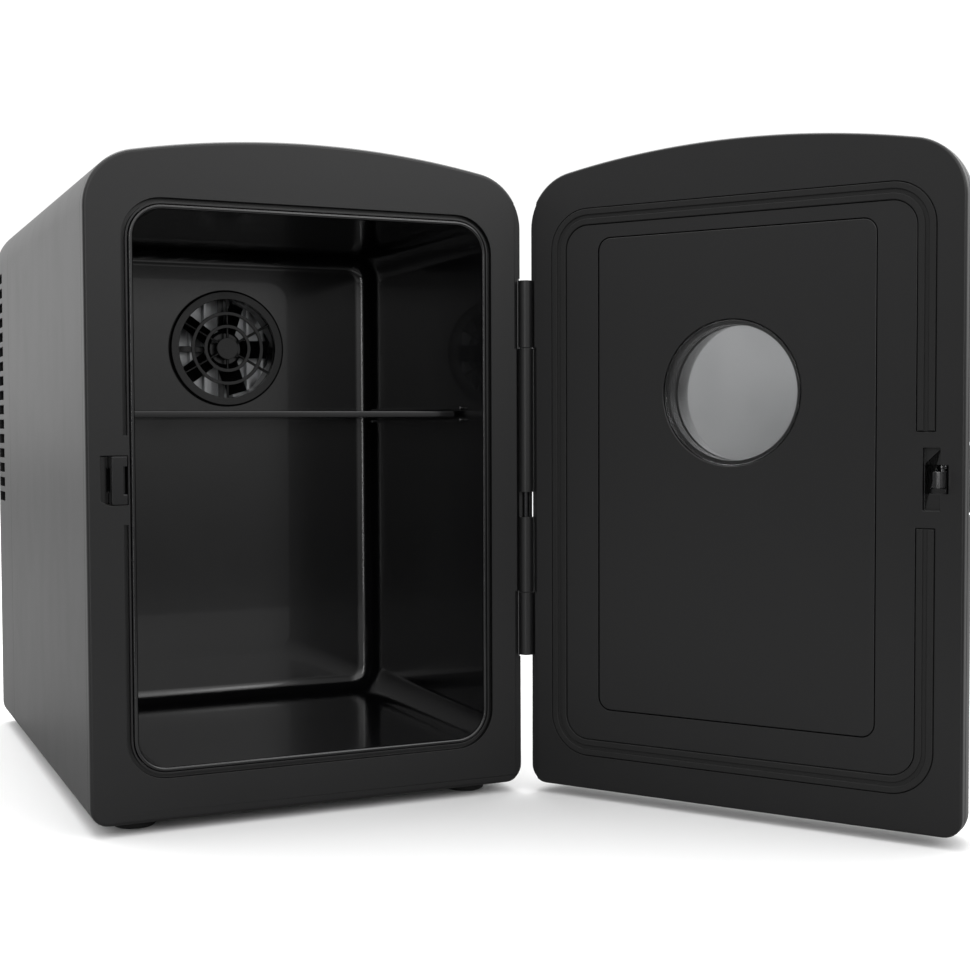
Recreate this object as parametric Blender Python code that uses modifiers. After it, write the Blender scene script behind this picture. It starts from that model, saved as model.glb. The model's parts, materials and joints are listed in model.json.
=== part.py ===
"""Four-litre thermoelectric mini fridge with an arched top, its door standing open.

Modelling frame: X to the hinge side, Y from the front face into the cabinet, Z up from the
surface that the feet stand on.  The door is modelled shut and then swung on its hinge.
At the end the whole object is moved so that the origin is the middle of its footprint.
"""
import math

import bmesh
import bpy
from mathutils import Matrix, Vector

MM = 0.001

# ---- clearances -------------------------------------------------------------------------
GAP = 0.3 * MM                 # between pieces that touch or seat
RUNNING_GAP = 0.4 * MM         # between pieces that turn past each other

# ---- cabinet ----------------------------------------------------------------------------
WIDTH = 176.5 * MM
FACE_HEIGHT = 256.2 * MM
REAR_ROOM = 33.4 * MM          # from the rear fan to the cover's back wall
TOP_RADIUS = 375 * MM
SHOULDER_RADIUS = 22 * MM
BASE_RADIUS = 7 * MM
FOOT_HEIGHT = 4 * MM
FOOT_RADIUS = 8 * MM
STEM_RADIUS = 2.5 * MM         # push-in stems of feet and handle brackets
STEM_LENGTH = 5 * MM
FOOT_INSET_X = 19.25 * MM
FOOT_INSET_Y = 16.5 * MM
SHELL_WALL = 2.4 * MM
BEZEL_THICK = 5 * MM
BEZEL_EDGE = 1.5 * MM          # rounding of the front edge
SPIGOT_WALL = 1.8 * MM
SPIGOT_DEPTH = 9 * MM
REAR_COVER_DEPTH = 47 * MM
REAR_EDGE = 5 * MM

# ---- cavity -----------------------------------------------------------------------------
SIDE_MARGIN = 17.95 * MM       # from the cabinet's side to the cavity
TOP_MARGIN = 28.2 * MM         # from the crown of the arch to the cavity
CAVITY_DEPTH = 132 * MM
CAVITY_FLOOR = 24.4 * MM       # height of the cavity floor above the feet's rest plane
CAVITY_RADIUS = 11 * MM
LINER_WALL = 1.5 * MM
BEAD_WIDTH = 1.7 * MM          # raised lip round the opening
BEAD_PROUD = 0.8 * MM
BEAD_DEPTH = 0.9 * MM          # how far the lip's outer part reaches behind the face
GROOVE_OFFSET = 2.8 * MM       # from the cavity wall to the seal groove
GROOVE_WIDTH = 1.5 * MM
GROOVE_DEPTH = 2.2 * MM
GROOVE_BREAK = 33 * MM         # stretch without groove beside the latch

# ---- shelf and its rails ----------------------------------------------------------------
SHELF_HEIGHT = 156.6 * MM
SHELF_THICK = 2.6 * MM
SHELF_SLOT = 3.4 * MM
SHELF_SIDE_GAP = 0.6 * MM
SHELF_SETBACK = 22 * MM
SHELF_DEPTH = 104 * MM
SHELF_SLOTS = 7
RAIL_THICK = 1.6 * MM
RAIL_PROUD = 2.2 * MM

# ---- hinge ------------------------------------------------------------------------------
AXIS_OUTSET = 1.5 * MM         # hinge axis outside the cabinet's side
BARREL_RADIUS = 3.0 * MM
PIN_RADIUS = 1.25 * MM
BARREL_LOW = 57 * MM
BARREL_DROP = 49.2 * MM        # from the crown of the arch to the barrel's top
LOWER_KNUCKLE = 26 * MM
UPPER_KNUCKLE = 27.5 * MM
KNUCKLE_STEP = 0.1 * MM        # a knuckle's end stands back from the end of its neighbour's room
PIN_WINDOW = 10.3 * MM
PIN_WINDOW_HEIGHT = 119.2 * MM
HINGE_STEP = 3.05 * MM         # strip set back along the hinge edge
HINGE_STEP_DEPTH = 1.3 * MM
WEB_WIDTH = 0.9 * MM
DOOR_OPEN_ANGLE = 123.4        # degrees from shut, as the door stands

# ---- door -------------------------------------------------------------------------------
DOOR_GAP = 1.5 * MM            # between the shut door's face and the cabinet's
DOOR_THICK = 26.5 * MM
PANEL_THICK = 4 * MM
DOOR_CROWN_INSET = 12 * MM
DOOR_WALL = 2.2 * MM
GASKET_SIDE = 7.3 * MM         # the seal's outer edge outside the cavity, at the sides,
GASKET_BELOW = 6.5 * MM        # below
GASKET_ABOVE = 6.3 * MM        # and above
GASKET_WIDTH = 6.4 * MM
GASKET_RADIUS = 16 * MM
GASKET_PROUD = 0.4 * MM
GASKET_SEAT = 1.4 * MM
GASKET_BREAK_BELOW = 17.8 * MM # the seal stops this far below the latch
GASKET_BREAK_ABOVE = 17.2 * MM # and this far above it
INSET_SIDE = 14 * MM           # the inset plate's edge inside the cavity's outline, at the sides,
INSET_FOOT = 12.9 * MM         # at the foot
INSET_HEAD = 6 * MM            # and at the head
INSET_RADIUS = 5 * MM
INSET_THICK = 1.6 * MM

# ---- porthole ---------------------------------------------------------------------------
WINDOW_DROP = 62.1 * MM        # from the inset plate's head to the window's middle
WINDOW_RADIUS = 28 * MM
PANE_THICK = 2.2 * MM
PANE_GAP = 5 * MM
SPACER_WALL = 1.7 * MM
TRIM_FLANGE = 5.5 * MM
TRIM_THICK = 1.8 * MM
TRIM_WALL = 1.6 * MM
TRIM_FLARE = 4.5 * MM

# ---- latch ------------------------------------------------------------------------------
LATCH_HEIGHT = 132 * MM
LATCH_OFFSET = 1.1 * MM        # latch pivot from the keeper's edge
LATCH_PIVOT_DEPTH = 9.5 * MM   # in front of the cabinet face
HOOK_HEIGHT = 5.8 * MM
HOOK_ARM = 1.9 * MM            # the arm's thickness
HOOK_NOSE = 0.9 * MM           # how far the nose catches behind the keeper
HUB_RADIUS = 2.6 * MM
LATCH_PIN_RADIUS = 1.0 * MM
PAD_HEIGHT = 24 * MM
PAD_MARGIN = 5 * MM            # from the pad's end to the door's front
KEEPER_HEIGHT = 18.3 * MM
KEEPER_WIDTH = 6.1 * MM
KEEPER_DEPTH = 9 * MM
KEEPER_PROUD = 0.7 * MM
KEEPER_PLATE = 2.4 * MM
SLOT_WIDTH = 3.9 * MM
SLOT_DEPTH = 6.5 * MM
KEEPER_MARGIN = 1.0 * MM       # from the lip's outer edge to the latch pocket
RECESS_HEIGHT = 22.4 * MM
LUG_THICK = 3.6 * MM
SPRING_ROOM = 3.0 * MM
SPRING_WIRE = 0.3 * MM

# ---- cooling stack ----------------------------------------------------------------------
STACK_DROP = 44 * MM           # from the cavity's ceiling to the fans' axis
GUARD_RADIUS = 27 * MM
INNER_FAN_SIZE = 50 * MM
INNER_FAN_DEPTH = 10 * MM
COLD_SINK_SIZE = 56 * MM
COLD_SINK_DEPTH = 8 * MM
MODULE_SIZE = 40 * MM
MODULE_THICK = 3.6 * MM
HOT_SINK_WIDTH = 104 * MM
HOT_SINK_HEIGHT = 86 * MM
HOT_SINK_DEPTH = 24 * MM
HOT_SINK_FINS = 15
REAR_FAN_SIZE = 80 * MM
REAR_FAN_DEPTH = 20 * MM
CHASSIS_THICK = 2.4 * MM
BLOCK_LENGTH = 15.3 * MM
POST_RADIUS = 4 * MM
POST_INSET = 14 * MM
POST_RISE = 15 * MM
POST_DROP = 40 * MM
BOARD_WIDTH = 80 * MM
BOARD_HEIGHT = 48 * MM
BOARD_THICK = 1.6 * MM
BOARD_STANDOFF = 5 * MM
BOARD_DROP = 35 * MM           # from the hot sink to the board

# ---- vents, rear fittings and handle ----------------------------------------------------
VENT_COUNT = 16
VENT_PITCH = 7.24 * MM
VENT_SLOT = 4.5 * MM
VENT_LENGTH = 18 * MM
VENT_DROP = 32.2 * MM          # from the crown of the arch to the top vent
VENT_REAR_MARGIN = 7 * MM
GRILLE_BARS = 9
SCREW_HEAD = 2.8 * MM
SCREW_SHANK = 1.4 * MM
FITTING_HEIGHT = 46 * MM
FITTING_FLANGE = 1.4 * MM
INLET_X = -36 * MM
INLET_WIDTH = 20 * MM
INLET_HEIGHT = 12 * MM
SOCKET_X = -4 * MM
SOCKET_RADIUS = 7 * MM
SOCKET_BORE = 4.4 * MM
SOCKET_PIN = 1.1 * MM
SWITCH_X = 30 * MM
SWITCH_WIDTH = 13 * MM
SWITCH_HEIGHT = 19 * MM
WELL_WIDTH = 9 * MM            # the rocker's well in the switch frame
WELL_HEIGHT = 15 * MM
HANDLE_SPAN = 96 * MM
HANDLE_REACH = 38 * MM
HANDLE_BAR = 3.4 * MM
HANDLE_GRIP = 4.6 * MM
HANDLE_GRIP_LENGTH = 54 * MM
HANDLE_CORNER = 11 * MM
HANDLE_PLACE = 108 * MM
HANDLE_PIVOT_RISE = 5.6 * MM   # above the top of the arch
BRACKET_WIDTH = 8 * MM
BRACKET_LENGTH = 13 * MM
BRACKET_CROWN = 4.6 * MM
HANDLE_PIN_RADIUS = 1.5 * MM

# ---- worked-out values ------------------------------------------------------------------
HALF = WIDTH / 2
BASE_Z = FOOT_HEIGHT
TOP_Z = BASE_Z + FACE_HEIGHT
FACE_EDGE = HALF - HINGE_STEP
CAVITY_HALF = HALF - SIDE_MARGIN
CAVITY_TOP = TOP_Z - TOP_MARGIN
BARREL_HIGH = TOP_Z - BARREL_DROP
LOW_JOINT = BARREL_LOW + LOWER_KNUCKLE
HIGH_JOINT = BARREL_HIGH - UPPER_KNUCKLE
AXIS_X = HALF + AXIS_OUTSET
AXIS_Y = -DOOR_GAP / 2
DOOR_FACE = -DOOR_GAP
DOOR_FRONT = DOOR_FACE - DOOR_THICK
PANEL_BACK = DOOR_FACE - PANEL_THICK
GASKET_HALF = CAVITY_HALF + GASKET_SIDE
GASKET_LOW = CAVITY_FLOOR - GASKET_BELOW
GASKET_HIGH = CAVITY_TOP + GASKET_ABOVE
INSET_HALF = CAVITY_HALF - INSET_SIDE
INSET_LOW = CAVITY_FLOOR + INSET_FOOT
INSET_HIGH = CAVITY_TOP - INSET_HEAD
WINDOW_HEIGHT = INSET_HIGH - WINDOW_DROP
PANE_RADIUS = WINDOW_RADIUS - GAP
PANE_FACE = DOOR_FACE - GAP
SPACER_FACE = PANE_FACE - PANE_THICK - GAP
OUTER_FACE = SPACER_FACE - PANE_GAP - GAP
TRIM_BORE = PANE_RADIUS - SPACER_WALL
TRIM_MOUTH = TRIM_BORE + TRIM_FLARE
PORTHOLE_RADIUS = WINDOW_RADIUS + TRIM_FLARE
KEEPER_RIGHT = -(CAVITY_HALF + BEAD_WIDTH + KEEPER_MARGIN)
POCKET_LEFT = KEEPER_RIGHT - KEEPER_WIDTH - SLOT_WIDTH
KEEPER_EDGE = POCKET_LEFT + SLOT_WIDTH
LATCH_X = KEEPER_EDGE + LATCH_OFFSET
LATCH_Y = -LATCH_PIVOT_DEPTH
PAD_REACH = DOOR_GAP + DOOR_THICK - PAD_MARGIN - LATCH_PIVOT_DEPTH
HOOK_LOW = LATCH_HEIGHT - HOOK_HEIGHT / 2
HOOK_HIGH = LATCH_HEIGHT + HOOK_HEIGHT / 2
STACK_HEIGHT = CAVITY_TOP - STACK_DROP
FAN_FRONT = CAVITY_DEPTH + LINER_WALL + GAP
COLD_SINK_FRONT = FAN_FRONT + INNER_FAN_DEPTH + GAP
BLOCK_FRONT = COLD_SINK_FRONT + COLD_SINK_DEPTH + GAP
CHASSIS_BACK = BLOCK_FRONT + BLOCK_LENGTH
CHASSIS_FRONT = CHASSIS_BACK - CHASSIS_THICK
FOAM_BACK = CHASSIS_FRONT - GAP
MODULE_FRONT = CHASSIS_BACK + GAP
SINK_FRONT = MODULE_FRONT + MODULE_THICK + GAP
REAR_FAN_FRONT = SINK_FRONT + HOT_SINK_DEPTH + GAP
CABINET_DEPTH = REAR_FAN_FRONT + REAR_FAN_DEPTH + REAR_ROOM + SHELL_WALL
COVER_START = CABINET_DEPTH - REAR_COVER_DEPTH
VENT_TOP = TOP_Z - VENT_DROP
BOARD_TOP = STACK_HEIGHT - HOT_SINK_HEIGHT / 2 - BOARD_DROP
HANDLE_Z = TOP_Z + HANDLE_PIVOT_RISE
SWITCH_Y = CABINET_DEPTH + GAP + FITTING_FLANGE - 2 * MM
SIDES = {-1: "left", 1: "right"}

for old in list(bpy.data.objects):
    bpy.data.objects.remove(old, do_unlink=True)

PARTS = bpy.data.collections.new("mini_fridge")
CUTTERS = bpy.data.collections.new("cutters")
bpy.context.scene.collection.children.link(PARTS)
bpy.context.scene.collection.children.link(CUTTERS)


# ---- materials --------------------------------------------------------------------------
def finish(name, colour, roughness, metallic=0.0, alpha=1.0):
    """A named plain finish."""
    material = bpy.data.materials.new(name)
    material.use_nodes = True
    shader = material.node_tree.nodes["Principled BSDF"]
    shader.inputs["Base Color"].default_value = (*colour, 1.0)
    shader.inputs["Roughness"].default_value = roughness
    shader.inputs["Metallic"].default_value = metallic
    shader.inputs["Alpha"].default_value = alpha
    return material


BLACK_CASE = finish("black_case", (0.030, 0.030, 0.031), 0.42)
BLACK_LINER = finish("black_liner", (0.012, 0.012, 0.013), 0.16)
BLACK_TRIM = finish("black_trim", (0.015, 0.015, 0.016), 0.28)
DARK_RUBBER = finish("dark_rubber", (0.020, 0.020, 0.020), 0.75)
SMOKE_PANE = finish("smoke_pane", (0.45, 0.46, 0.47), 0.12, alpha=0.6)
WHITE_FOAM = finish("white_foam", (0.78, 0.78, 0.75), 0.90)
STEEL = finish("steel", (0.55, 0.56, 0.57), 0.28, 1.0)
ALUMINIUM = finish("aluminium", (0.70, 0.71, 0.72), 0.38, 1.0)
WHITE_CERAMIC = finish("white_ceramic", (0.82, 0.82, 0.80), 0.50)
BOARD_GREEN = finish("board_green", (0.02, 0.16, 0.07), 0.45)


# ---- outlines, as lists of (x, z) -------------------------------------------------------
def arc(centre_x, centre_z, radius, start, end, steps):
    """Points along an arc, angles in degrees, both ends included."""
    points = []
    for step in range(steps + 1):
        angle = math.radians(start + (end - start) * step / steps)
        points.append((centre_x + radius * math.cos(angle), centre_z + radius * math.sin(angle)))
    return points


def body_outline(inset=0.0, arch_steps=10, shoulder_steps=4, base_steps=2):
    """The arched front outline, drawn in by inset, from the lower right corner round."""
    half = HALF - inset
    low = BASE_Z + inset
    arch = TOP_RADIUS - inset
    shoulder = max(SHOULDER_RADIUS - inset, 2 * MM)
    base = max(BASE_RADIUS - inset, 1 * MM)
    arch_z = TOP_Z - TOP_RADIUS
    shoulder_x = half - shoulder
    shoulder_z = arch_z + math.sqrt((arch - shoulder) ** 2 - shoulder_x ** 2)
    join = math.degrees(math.atan2(shoulder_z - arch_z, shoulder_x))
    points = arc(half - base, low + base, base, -90, 0, base_steps)
    points += arc(shoulder_x, shoulder_z, shoulder, 0, join, shoulder_steps)
    points += arc(0, arch_z, arch, join, 180 - join, arch_steps)[1:-1]
    points += arc(-shoulder_x, shoulder_z, shoulder, 180 - join, 180, shoulder_steps)
    points += arc(base - half, low + base, base, 180, 270, base_steps)
    return points


def rounded_rect(left, right, low, high, radius, steps=4):
    """A rectangle with round corners, from its lower right corner round."""
    points = arc(right - radius, low + radius, radius, -90, 0, steps)
    points += arc(right - radius, high - radius, radius, 0, 90, steps)
    points += arc(left + radius, high - radius, radius, 90, 180, steps)
    points += arc(left + radius, low + radius, radius, 180, 270, steps)
    return points


def cavity_outline(outset=0.0):
    """The cavity's cross-section, drawn out by outset."""
    reach = CAVITY_HALF + outset
    return rounded_rect(-reach, reach, CAVITY_FLOOR - outset, CAVITY_TOP + outset,
                        CAVITY_RADIUS + outset)


def gasket_outline(outset=0.0):
    """The outer edge of the door's seal, drawn out by outset."""
    reach = GASKET_HALF + outset
    return rounded_rect(-reach, reach, GASKET_LOW - outset, GASKET_HIGH + outset,
                        GASKET_RADIUS + outset)


# ---- solids -----------------------------------------------------------------------------
def add_mesh(name, mesh, material=None, group=None):
    """Link a mesh as an object, with its round sides shaded smooth."""
    mesh.shade_smooth()
    mesh.set_sharp_from_angle(angle=math.radians(35))
    piece = bpy.data.objects.new(name, mesh)
    (group or PARTS).objects.link(piece)
    if material:
        piece.data.materials.append(material)
    if group is CUTTERS:
        piece.hide_render = True
        piece.display_type = "WIRE"
    return piece


def drawn_out(name, loops, turn, material, group):
    """Fill a flat outline, inner loops being holes, and give it the thickness in turn."""
    (matrix, thickness) = turn
    curve = bpy.data.curves.new(name + "_outline", "CURVE")
    curve.dimensions = "2D"
    curve.fill_mode = "BOTH"
    curve.extrude = thickness / 2
    for loop in loops:
        spline = curve.splines.new("POLY")
        spline.points.add(len(loop) - 1)
        for point, (across, up) in zip(spline.points, loop):
            point.co = (across, up, 0, 1)
        spline.use_cyclic_u = True
    drawn = bpy.data.objects.new(name + "_outline", curve)
    bpy.context.scene.collection.objects.link(drawn)
    graph = bpy.context.evaluated_depsgraph_get()
    mesh = bpy.data.meshes.new_from_object(drawn.evaluated_get(graph))
    mesh.name = name
    bpy.data.objects.remove(drawn, do_unlink=True)
    bpy.data.curves.remove(curve)
    shape = bmesh.new()
    shape.from_mesh(mesh)
    bmesh.ops.remove_doubles(shape, verts=shape.verts, dist=1e-6)
    bmesh.ops.recalc_face_normals(shape, faces=shape.faces)
    shape.to_mesh(mesh)
    shape.free()
    mesh.transform(matrix)
    return add_mesh(name, mesh, material, group)


def plate(name, loops, front, back, material=None, group=None):
    """An outline in X and Z, drawn out along Y from front to back."""
    place = Matrix.Translation((0, (front + back) / 2, 0)) @ Matrix.Rotation(math.pi / 2, 4, "X")
    return drawn_out(name, loops, (place, back - front), material, group)


def slab(name, loops, low, high, material=None, group=None):
    """An outline in X and Y, drawn out along Z from low to high."""
    place = Matrix.Translation((0, 0, (low + high) / 2))
    return drawn_out(name, loops, (place, high - low), material, group)


def bar(name, loops, left, right, material=None, group=None):
    """An outline in Y and Z, drawn out along X from left to right."""
    place = Matrix.Translation(((left + right) / 2, 0, 0)) @ Matrix(
        ((0, 0, 1, 0), (1, 0, 0, 0), (0, 1, 0, 0), (0, 0, 0, 1)))
    return drawn_out(name, loops, (place, right - left), material, group)


def box(name, lowest, highest, material=None, group=None):
    """A block between two corners."""
    shape = bmesh.new()
    bmesh.ops.create_cube(shape, size=1)
    size = Vector(highest) - Vector(lowest)
    middle = (Vector(highest) + Vector(lowest)) / 2
    bmesh.ops.scale(shape, vec=size, verts=shape.verts)
    bmesh.ops.translate(shape, vec=middle, verts=shape.verts)
    mesh = bpy.data.meshes.new(name)
    shape.to_mesh(mesh)
    shape.free()
    return add_mesh(name, mesh, material, group)


def rod(name, start, end, radius, material=None, group=None, segments=16, end_radius=None):
    """A cylinder, or a cone where end_radius is given, from start to end."""
    start = Vector(start)
    run = Vector(end) - start
    shape = bmesh.new()
    bmesh.ops.create_cone(shape, cap_ends=True, segments=segments, radius1=radius,
                          radius2=radius if end_radius is None else end_radius,
                          depth=run.length)
    turn = Vector((0, 0, 1)).rotation_difference(run).to_matrix().to_4x4()
    place = Matrix.Translation(start + run / 2) @ turn
    bmesh.ops.transform(shape, matrix=place, verts=shape.verts)
    mesh = bpy.data.meshes.new(name)
    shape.to_mesh(mesh)
    shape.free()
    return add_mesh(name, mesh, material, group)


def turned(name, profile, centre, material=None, group=None, segments=36):
    """Turn a profile of (radius, y) about the Y axis through centre (x, z)."""
    mesh = bpy.data.meshes.new(name)
    points = [(radius, 0, -along) for radius, along in profile]
    closed = profile[0][0] > 0
    edges = [(i, i + 1) for i in range(len(points) - 1)]
    if closed:
        edges.append((len(points) - 1, 0))
    mesh.from_pydata(points, edges, [])
    piece = bpy.data.objects.new(name, mesh)
    bpy.context.scene.collection.objects.link(piece)
    screw = piece.modifiers.new("turn", "SCREW")
    screw.angle = math.radians(360)
    screw.axis = "Z"
    screw.steps = segments
    screw.render_steps = segments
    screw.use_merge_vertices = True
    screw.merge_threshold = 0.00001
    graph = bpy.context.evaluated_depsgraph_get()
    spun = bpy.data.meshes.new_from_object(piece.evaluated_get(graph))
    bpy.data.objects.remove(piece, do_unlink=True)
    bpy.data.meshes.remove(mesh)
    shape = bmesh.new()
    shape.from_mesh(spun)
    bmesh.ops.remove_doubles(shape, verts=shape.verts, dist=1e-6)
    bmesh.ops.recalc_face_normals(shape, faces=shape.faces)
    shape.to_mesh(spun)
    shape.free()
    spun.name = name
    centre_x, centre_z = centre
    spun.transform(Matrix.Translation((centre_x, 0, centre_z)) @ Matrix.Rotation(math.pi / 2, 4, "X"))
    return add_mesh(name, spun, material, group)


def layered(name, layers, material=None, group=None):
    """A solid whose outline changes along Y: layers are (outline, y), front to back."""
    shape = bmesh.new()
    rings = []
    for outline, depth in layers:
        rings.append([shape.verts.new((x, depth, z)) for x, z in outline])
    for near, far in zip(rings, rings[1:]):
        for i in range(len(near)):
            j = (i + 1) % len(near)
            shape.faces.new((near[i], near[j], far[j], far[i]))
    shape.faces.new(rings[0])
    shape.faces.new(rings[-1])
    bmesh.ops.recalc_face_normals(shape, faces=shape.faces)
    mesh = bpy.data.meshes.new(name)
    shape.to_mesh(mesh)
    shape.free()
    return add_mesh(name, mesh, material, group)


def combine(piece, helper, operation):
    """Cut a helper out of a piece, or join it on; the helper then follows the piece."""
    step = piece.modifiers.new(helper.name, "BOOLEAN")
    step.operation = operation
    step.solver = "EXACT"
    step.object = helper
    helper.parent = piece


def cut(piece, *helpers):
    """Cut each helper out of the piece."""
    for helper in helpers:
        combine(piece, helper, "DIFFERENCE")


def join(piece, *helpers):
    """Join each helper onto the piece."""
    for helper in helpers:
        combine(piece, helper, "UNION")


def settle():
    """Make every cut and join final, while the door is still shut."""
    bpy.context.view_layer.update()
    graph = bpy.context.evaluated_depsgraph_get()
    settled = [(piece, bpy.data.meshes.new_from_object(piece.evaluated_get(graph)))
               for piece in PARTS.objects]
    for piece, mesh in settled:
        shape = bmesh.new()
        shape.from_mesh(mesh)
        bmesh.ops.triangulate(shape, faces=shape.faces)
        shape.to_mesh(mesh)
        shape.free()
        piece.modifiers.clear()
        piece.data = mesh
        mesh.name = piece.name
    for helper in list(CUTTERS.objects):
        bpy.data.objects.remove(helper, do_unlink=True)


def pivot(name, place):
    """An empty on a joint's axis."""
    empty = bpy.data.objects.new(name, None)
    empty.location = place
    empty.empty_display_size = 10 * MM
    PARTS.objects.link(empty)
    return empty


def carry(empty, *pieces):
    """Parent pieces to an empty without moving them."""
    bpy.context.view_layer.update()
    for piece in pieces:
        piece.parent = empty
        piece.matrix_parent_inverse = empty.matrix_world.inverted()


# ---- cabinet shell and front bezel ------------------------------------------------------
def build_shell():
    """The wrap round the cabinet, with holes for the feet's stems."""
    shell = plate("cabinet_shell", [body_outline(), body_outline(SHELL_WALL)],
                  BEZEL_THICK + GAP, COVER_START - GAP, BLACK_CASE)
    for index, (x, y) in enumerate(foot_places()):
        cut(shell, rod(f"foot_hole_{index + 1}", (x, y, 0), (x, y, BASE_Z + 2 * SHELL_WALL),
                       STEM_RADIUS + GAP, group=CUTTERS))
    for side in SIDES:
        cut(shell, rod(f"bracket_hole_{SIDES[side]}", bracket_point(side, -9 * MM),
                       bracket_point(side, 9 * MM), STEM_RADIUS + GAP, group=CUTTERS))


def build_bezel():
    """The face frame: round front edge, seal groove, latch pocket and hinge knuckles."""
    bezel = layered("front_bezel", [
        (body_outline(BEZEL_EDGE), 0),
        (body_outline(0.45 * BEZEL_EDGE), 0.15 * BEZEL_EDGE),
        (body_outline(0.12 * BEZEL_EDGE), 0.5 * BEZEL_EDGE),
        (body_outline(), BEZEL_EDGE),
        (body_outline(), BEZEL_THICK)], BLACK_CASE)
    outer = SHELL_WALL + GAP
    join(bezel, plate("bezel_spigot", [body_outline(outer), body_outline(outer + SPIGOT_WALL)],
                      BEZEL_THICK - 1 * MM, BEZEL_THICK + SPIGOT_DEPTH, group=CUTTERS))
    cut(bezel, plate("opening", [cavity_outline(BEAD_WIDTH + GAP)], -5 * MM, 30 * MM,
                     group=CUTTERS))
    groove = plate("seal_groove", [cavity_outline(GROOVE_OFFSET + GROOVE_WIDTH),
                                   cavity_outline(GROOVE_OFFSET)],
                   -5 * MM, GROOVE_DEPTH, group=CUTTERS)
    cut(groove, box("groove_break", (-HALF, -9 * MM, LATCH_HEIGHT - GROOVE_BREAK / 2),
                    (0, 9 * MM, LATCH_HEIGHT + GROOVE_BREAK / 2), group=CUTTERS))
    cut(bezel, groove)
    half = KEEPER_HEIGHT / 2
    low = LATCH_HEIGHT - half
    high = LATCH_HEIGHT + half
    slope = 0.8 * SLOT_WIDTH
    pocket = [(KEEPER_RIGHT, low), (KEEPER_RIGHT, high), (POCKET_LEFT, high),
              (POCKET_LEFT, low + 0.5 * slope), (POCKET_LEFT + slope, low)]
    cut(bezel, plate("latch_pocket", [pocket], -5 * MM, 12 * MM, group=CUTTERS))
    cut(bezel, plate("hinge_step", [step_outline([(LOW_JOINT + GAP, HIGH_JOINT - GAP)])],
                     -5 * MM, HINGE_STEP_DEPTH, group=CUTTERS))
    return bezel


def step_outline(webs):
    """The strip set back along the hinge edge, narrower where a web backs a knuckle."""
    web_edge = FACE_EDGE + WEB_WIDTH
    points = [(FACE_EDGE, -9 * MM), (HALF + 9 * MM, -9 * MM), (HALF + 9 * MM, TOP_Z + 9 * MM),
              (FACE_EDGE, TOP_Z + 9 * MM)]
    for low, high in reversed(webs):
        points += [(FACE_EDGE, high), (web_edge, high), (web_edge, low), (FACE_EDGE, low)]
    return points


def knuckle(name, low, high):
    """A length of hinge barrel without its bore."""
    return rod(name, (AXIS_X, AXIS_Y, low), (AXIS_X, AXIS_Y, high), BARREL_RADIUS,
               group=CUTTERS, segments=24)


def barrel_room(name, low, high):
    """Room for a length of hinge barrel to turn in."""
    return rod(name, (AXIS_X, AXIS_Y, low), (AXIS_X, AXIS_Y, high),
               BARREL_RADIUS + RUNNING_GAP, group=CUTTERS, segments=24)


def pin_bore(name):
    """The bore through the knuckles."""
    return rod(name, (AXIS_X, AXIS_Y, BARREL_LOW - 9 * MM), (AXIS_X, AXIS_Y, BARREL_HIGH + 9 * MM),
               PIN_RADIUS + GAP, group=CUTTERS, segments=20)


def build_hinge(bezel, panel):
    """Knuckles on the bezel and on the door, and the steel pin through both."""
    window_low = PIN_WINDOW_HEIGHT - PIN_WINDOW / 2
    window_high = PIN_WINDOW_HEIGHT + PIN_WINDOW / 2
    body_low = LOW_JOINT + GAP
    body_high = HIGH_JOINT - GAP
    cut(bezel, barrel_room("door_knuckle_room_low", BARREL_LOW - 1 * MM, body_low))
    cut(bezel, barrel_room("door_knuckle_room_high", body_high, BARREL_HIGH + 1 * MM))
    join(bezel, knuckle("body_knuckle", body_low + KNUCKLE_STEP, body_high - KNUCKLE_STEP))
    cut(bezel, barrel_room("pin_window", window_low, window_high))
    cut(bezel, pin_bore("body_bore"))
    for name, low, high in (("low", BARREL_LOW, LOW_JOINT), ("high", HIGH_JOINT, BARREL_HIGH)):
        join(panel, knuckle(f"door_knuckle_{name}", low, high))
    cut(panel, barrel_room("body_knuckle_room", LOW_JOINT + KNUCKLE_STEP,
                           HIGH_JOINT - KNUCKLE_STEP))
    cut(panel, pin_bore("door_bore"))
    rod("hinge_pin", (AXIS_X, AXIS_Y, BARREL_LOW + 0.5 * MM),
        (AXIS_X, AXIS_Y, BARREL_HIGH - 0.5 * MM), PIN_RADIUS, STEEL, segments=20)


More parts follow.
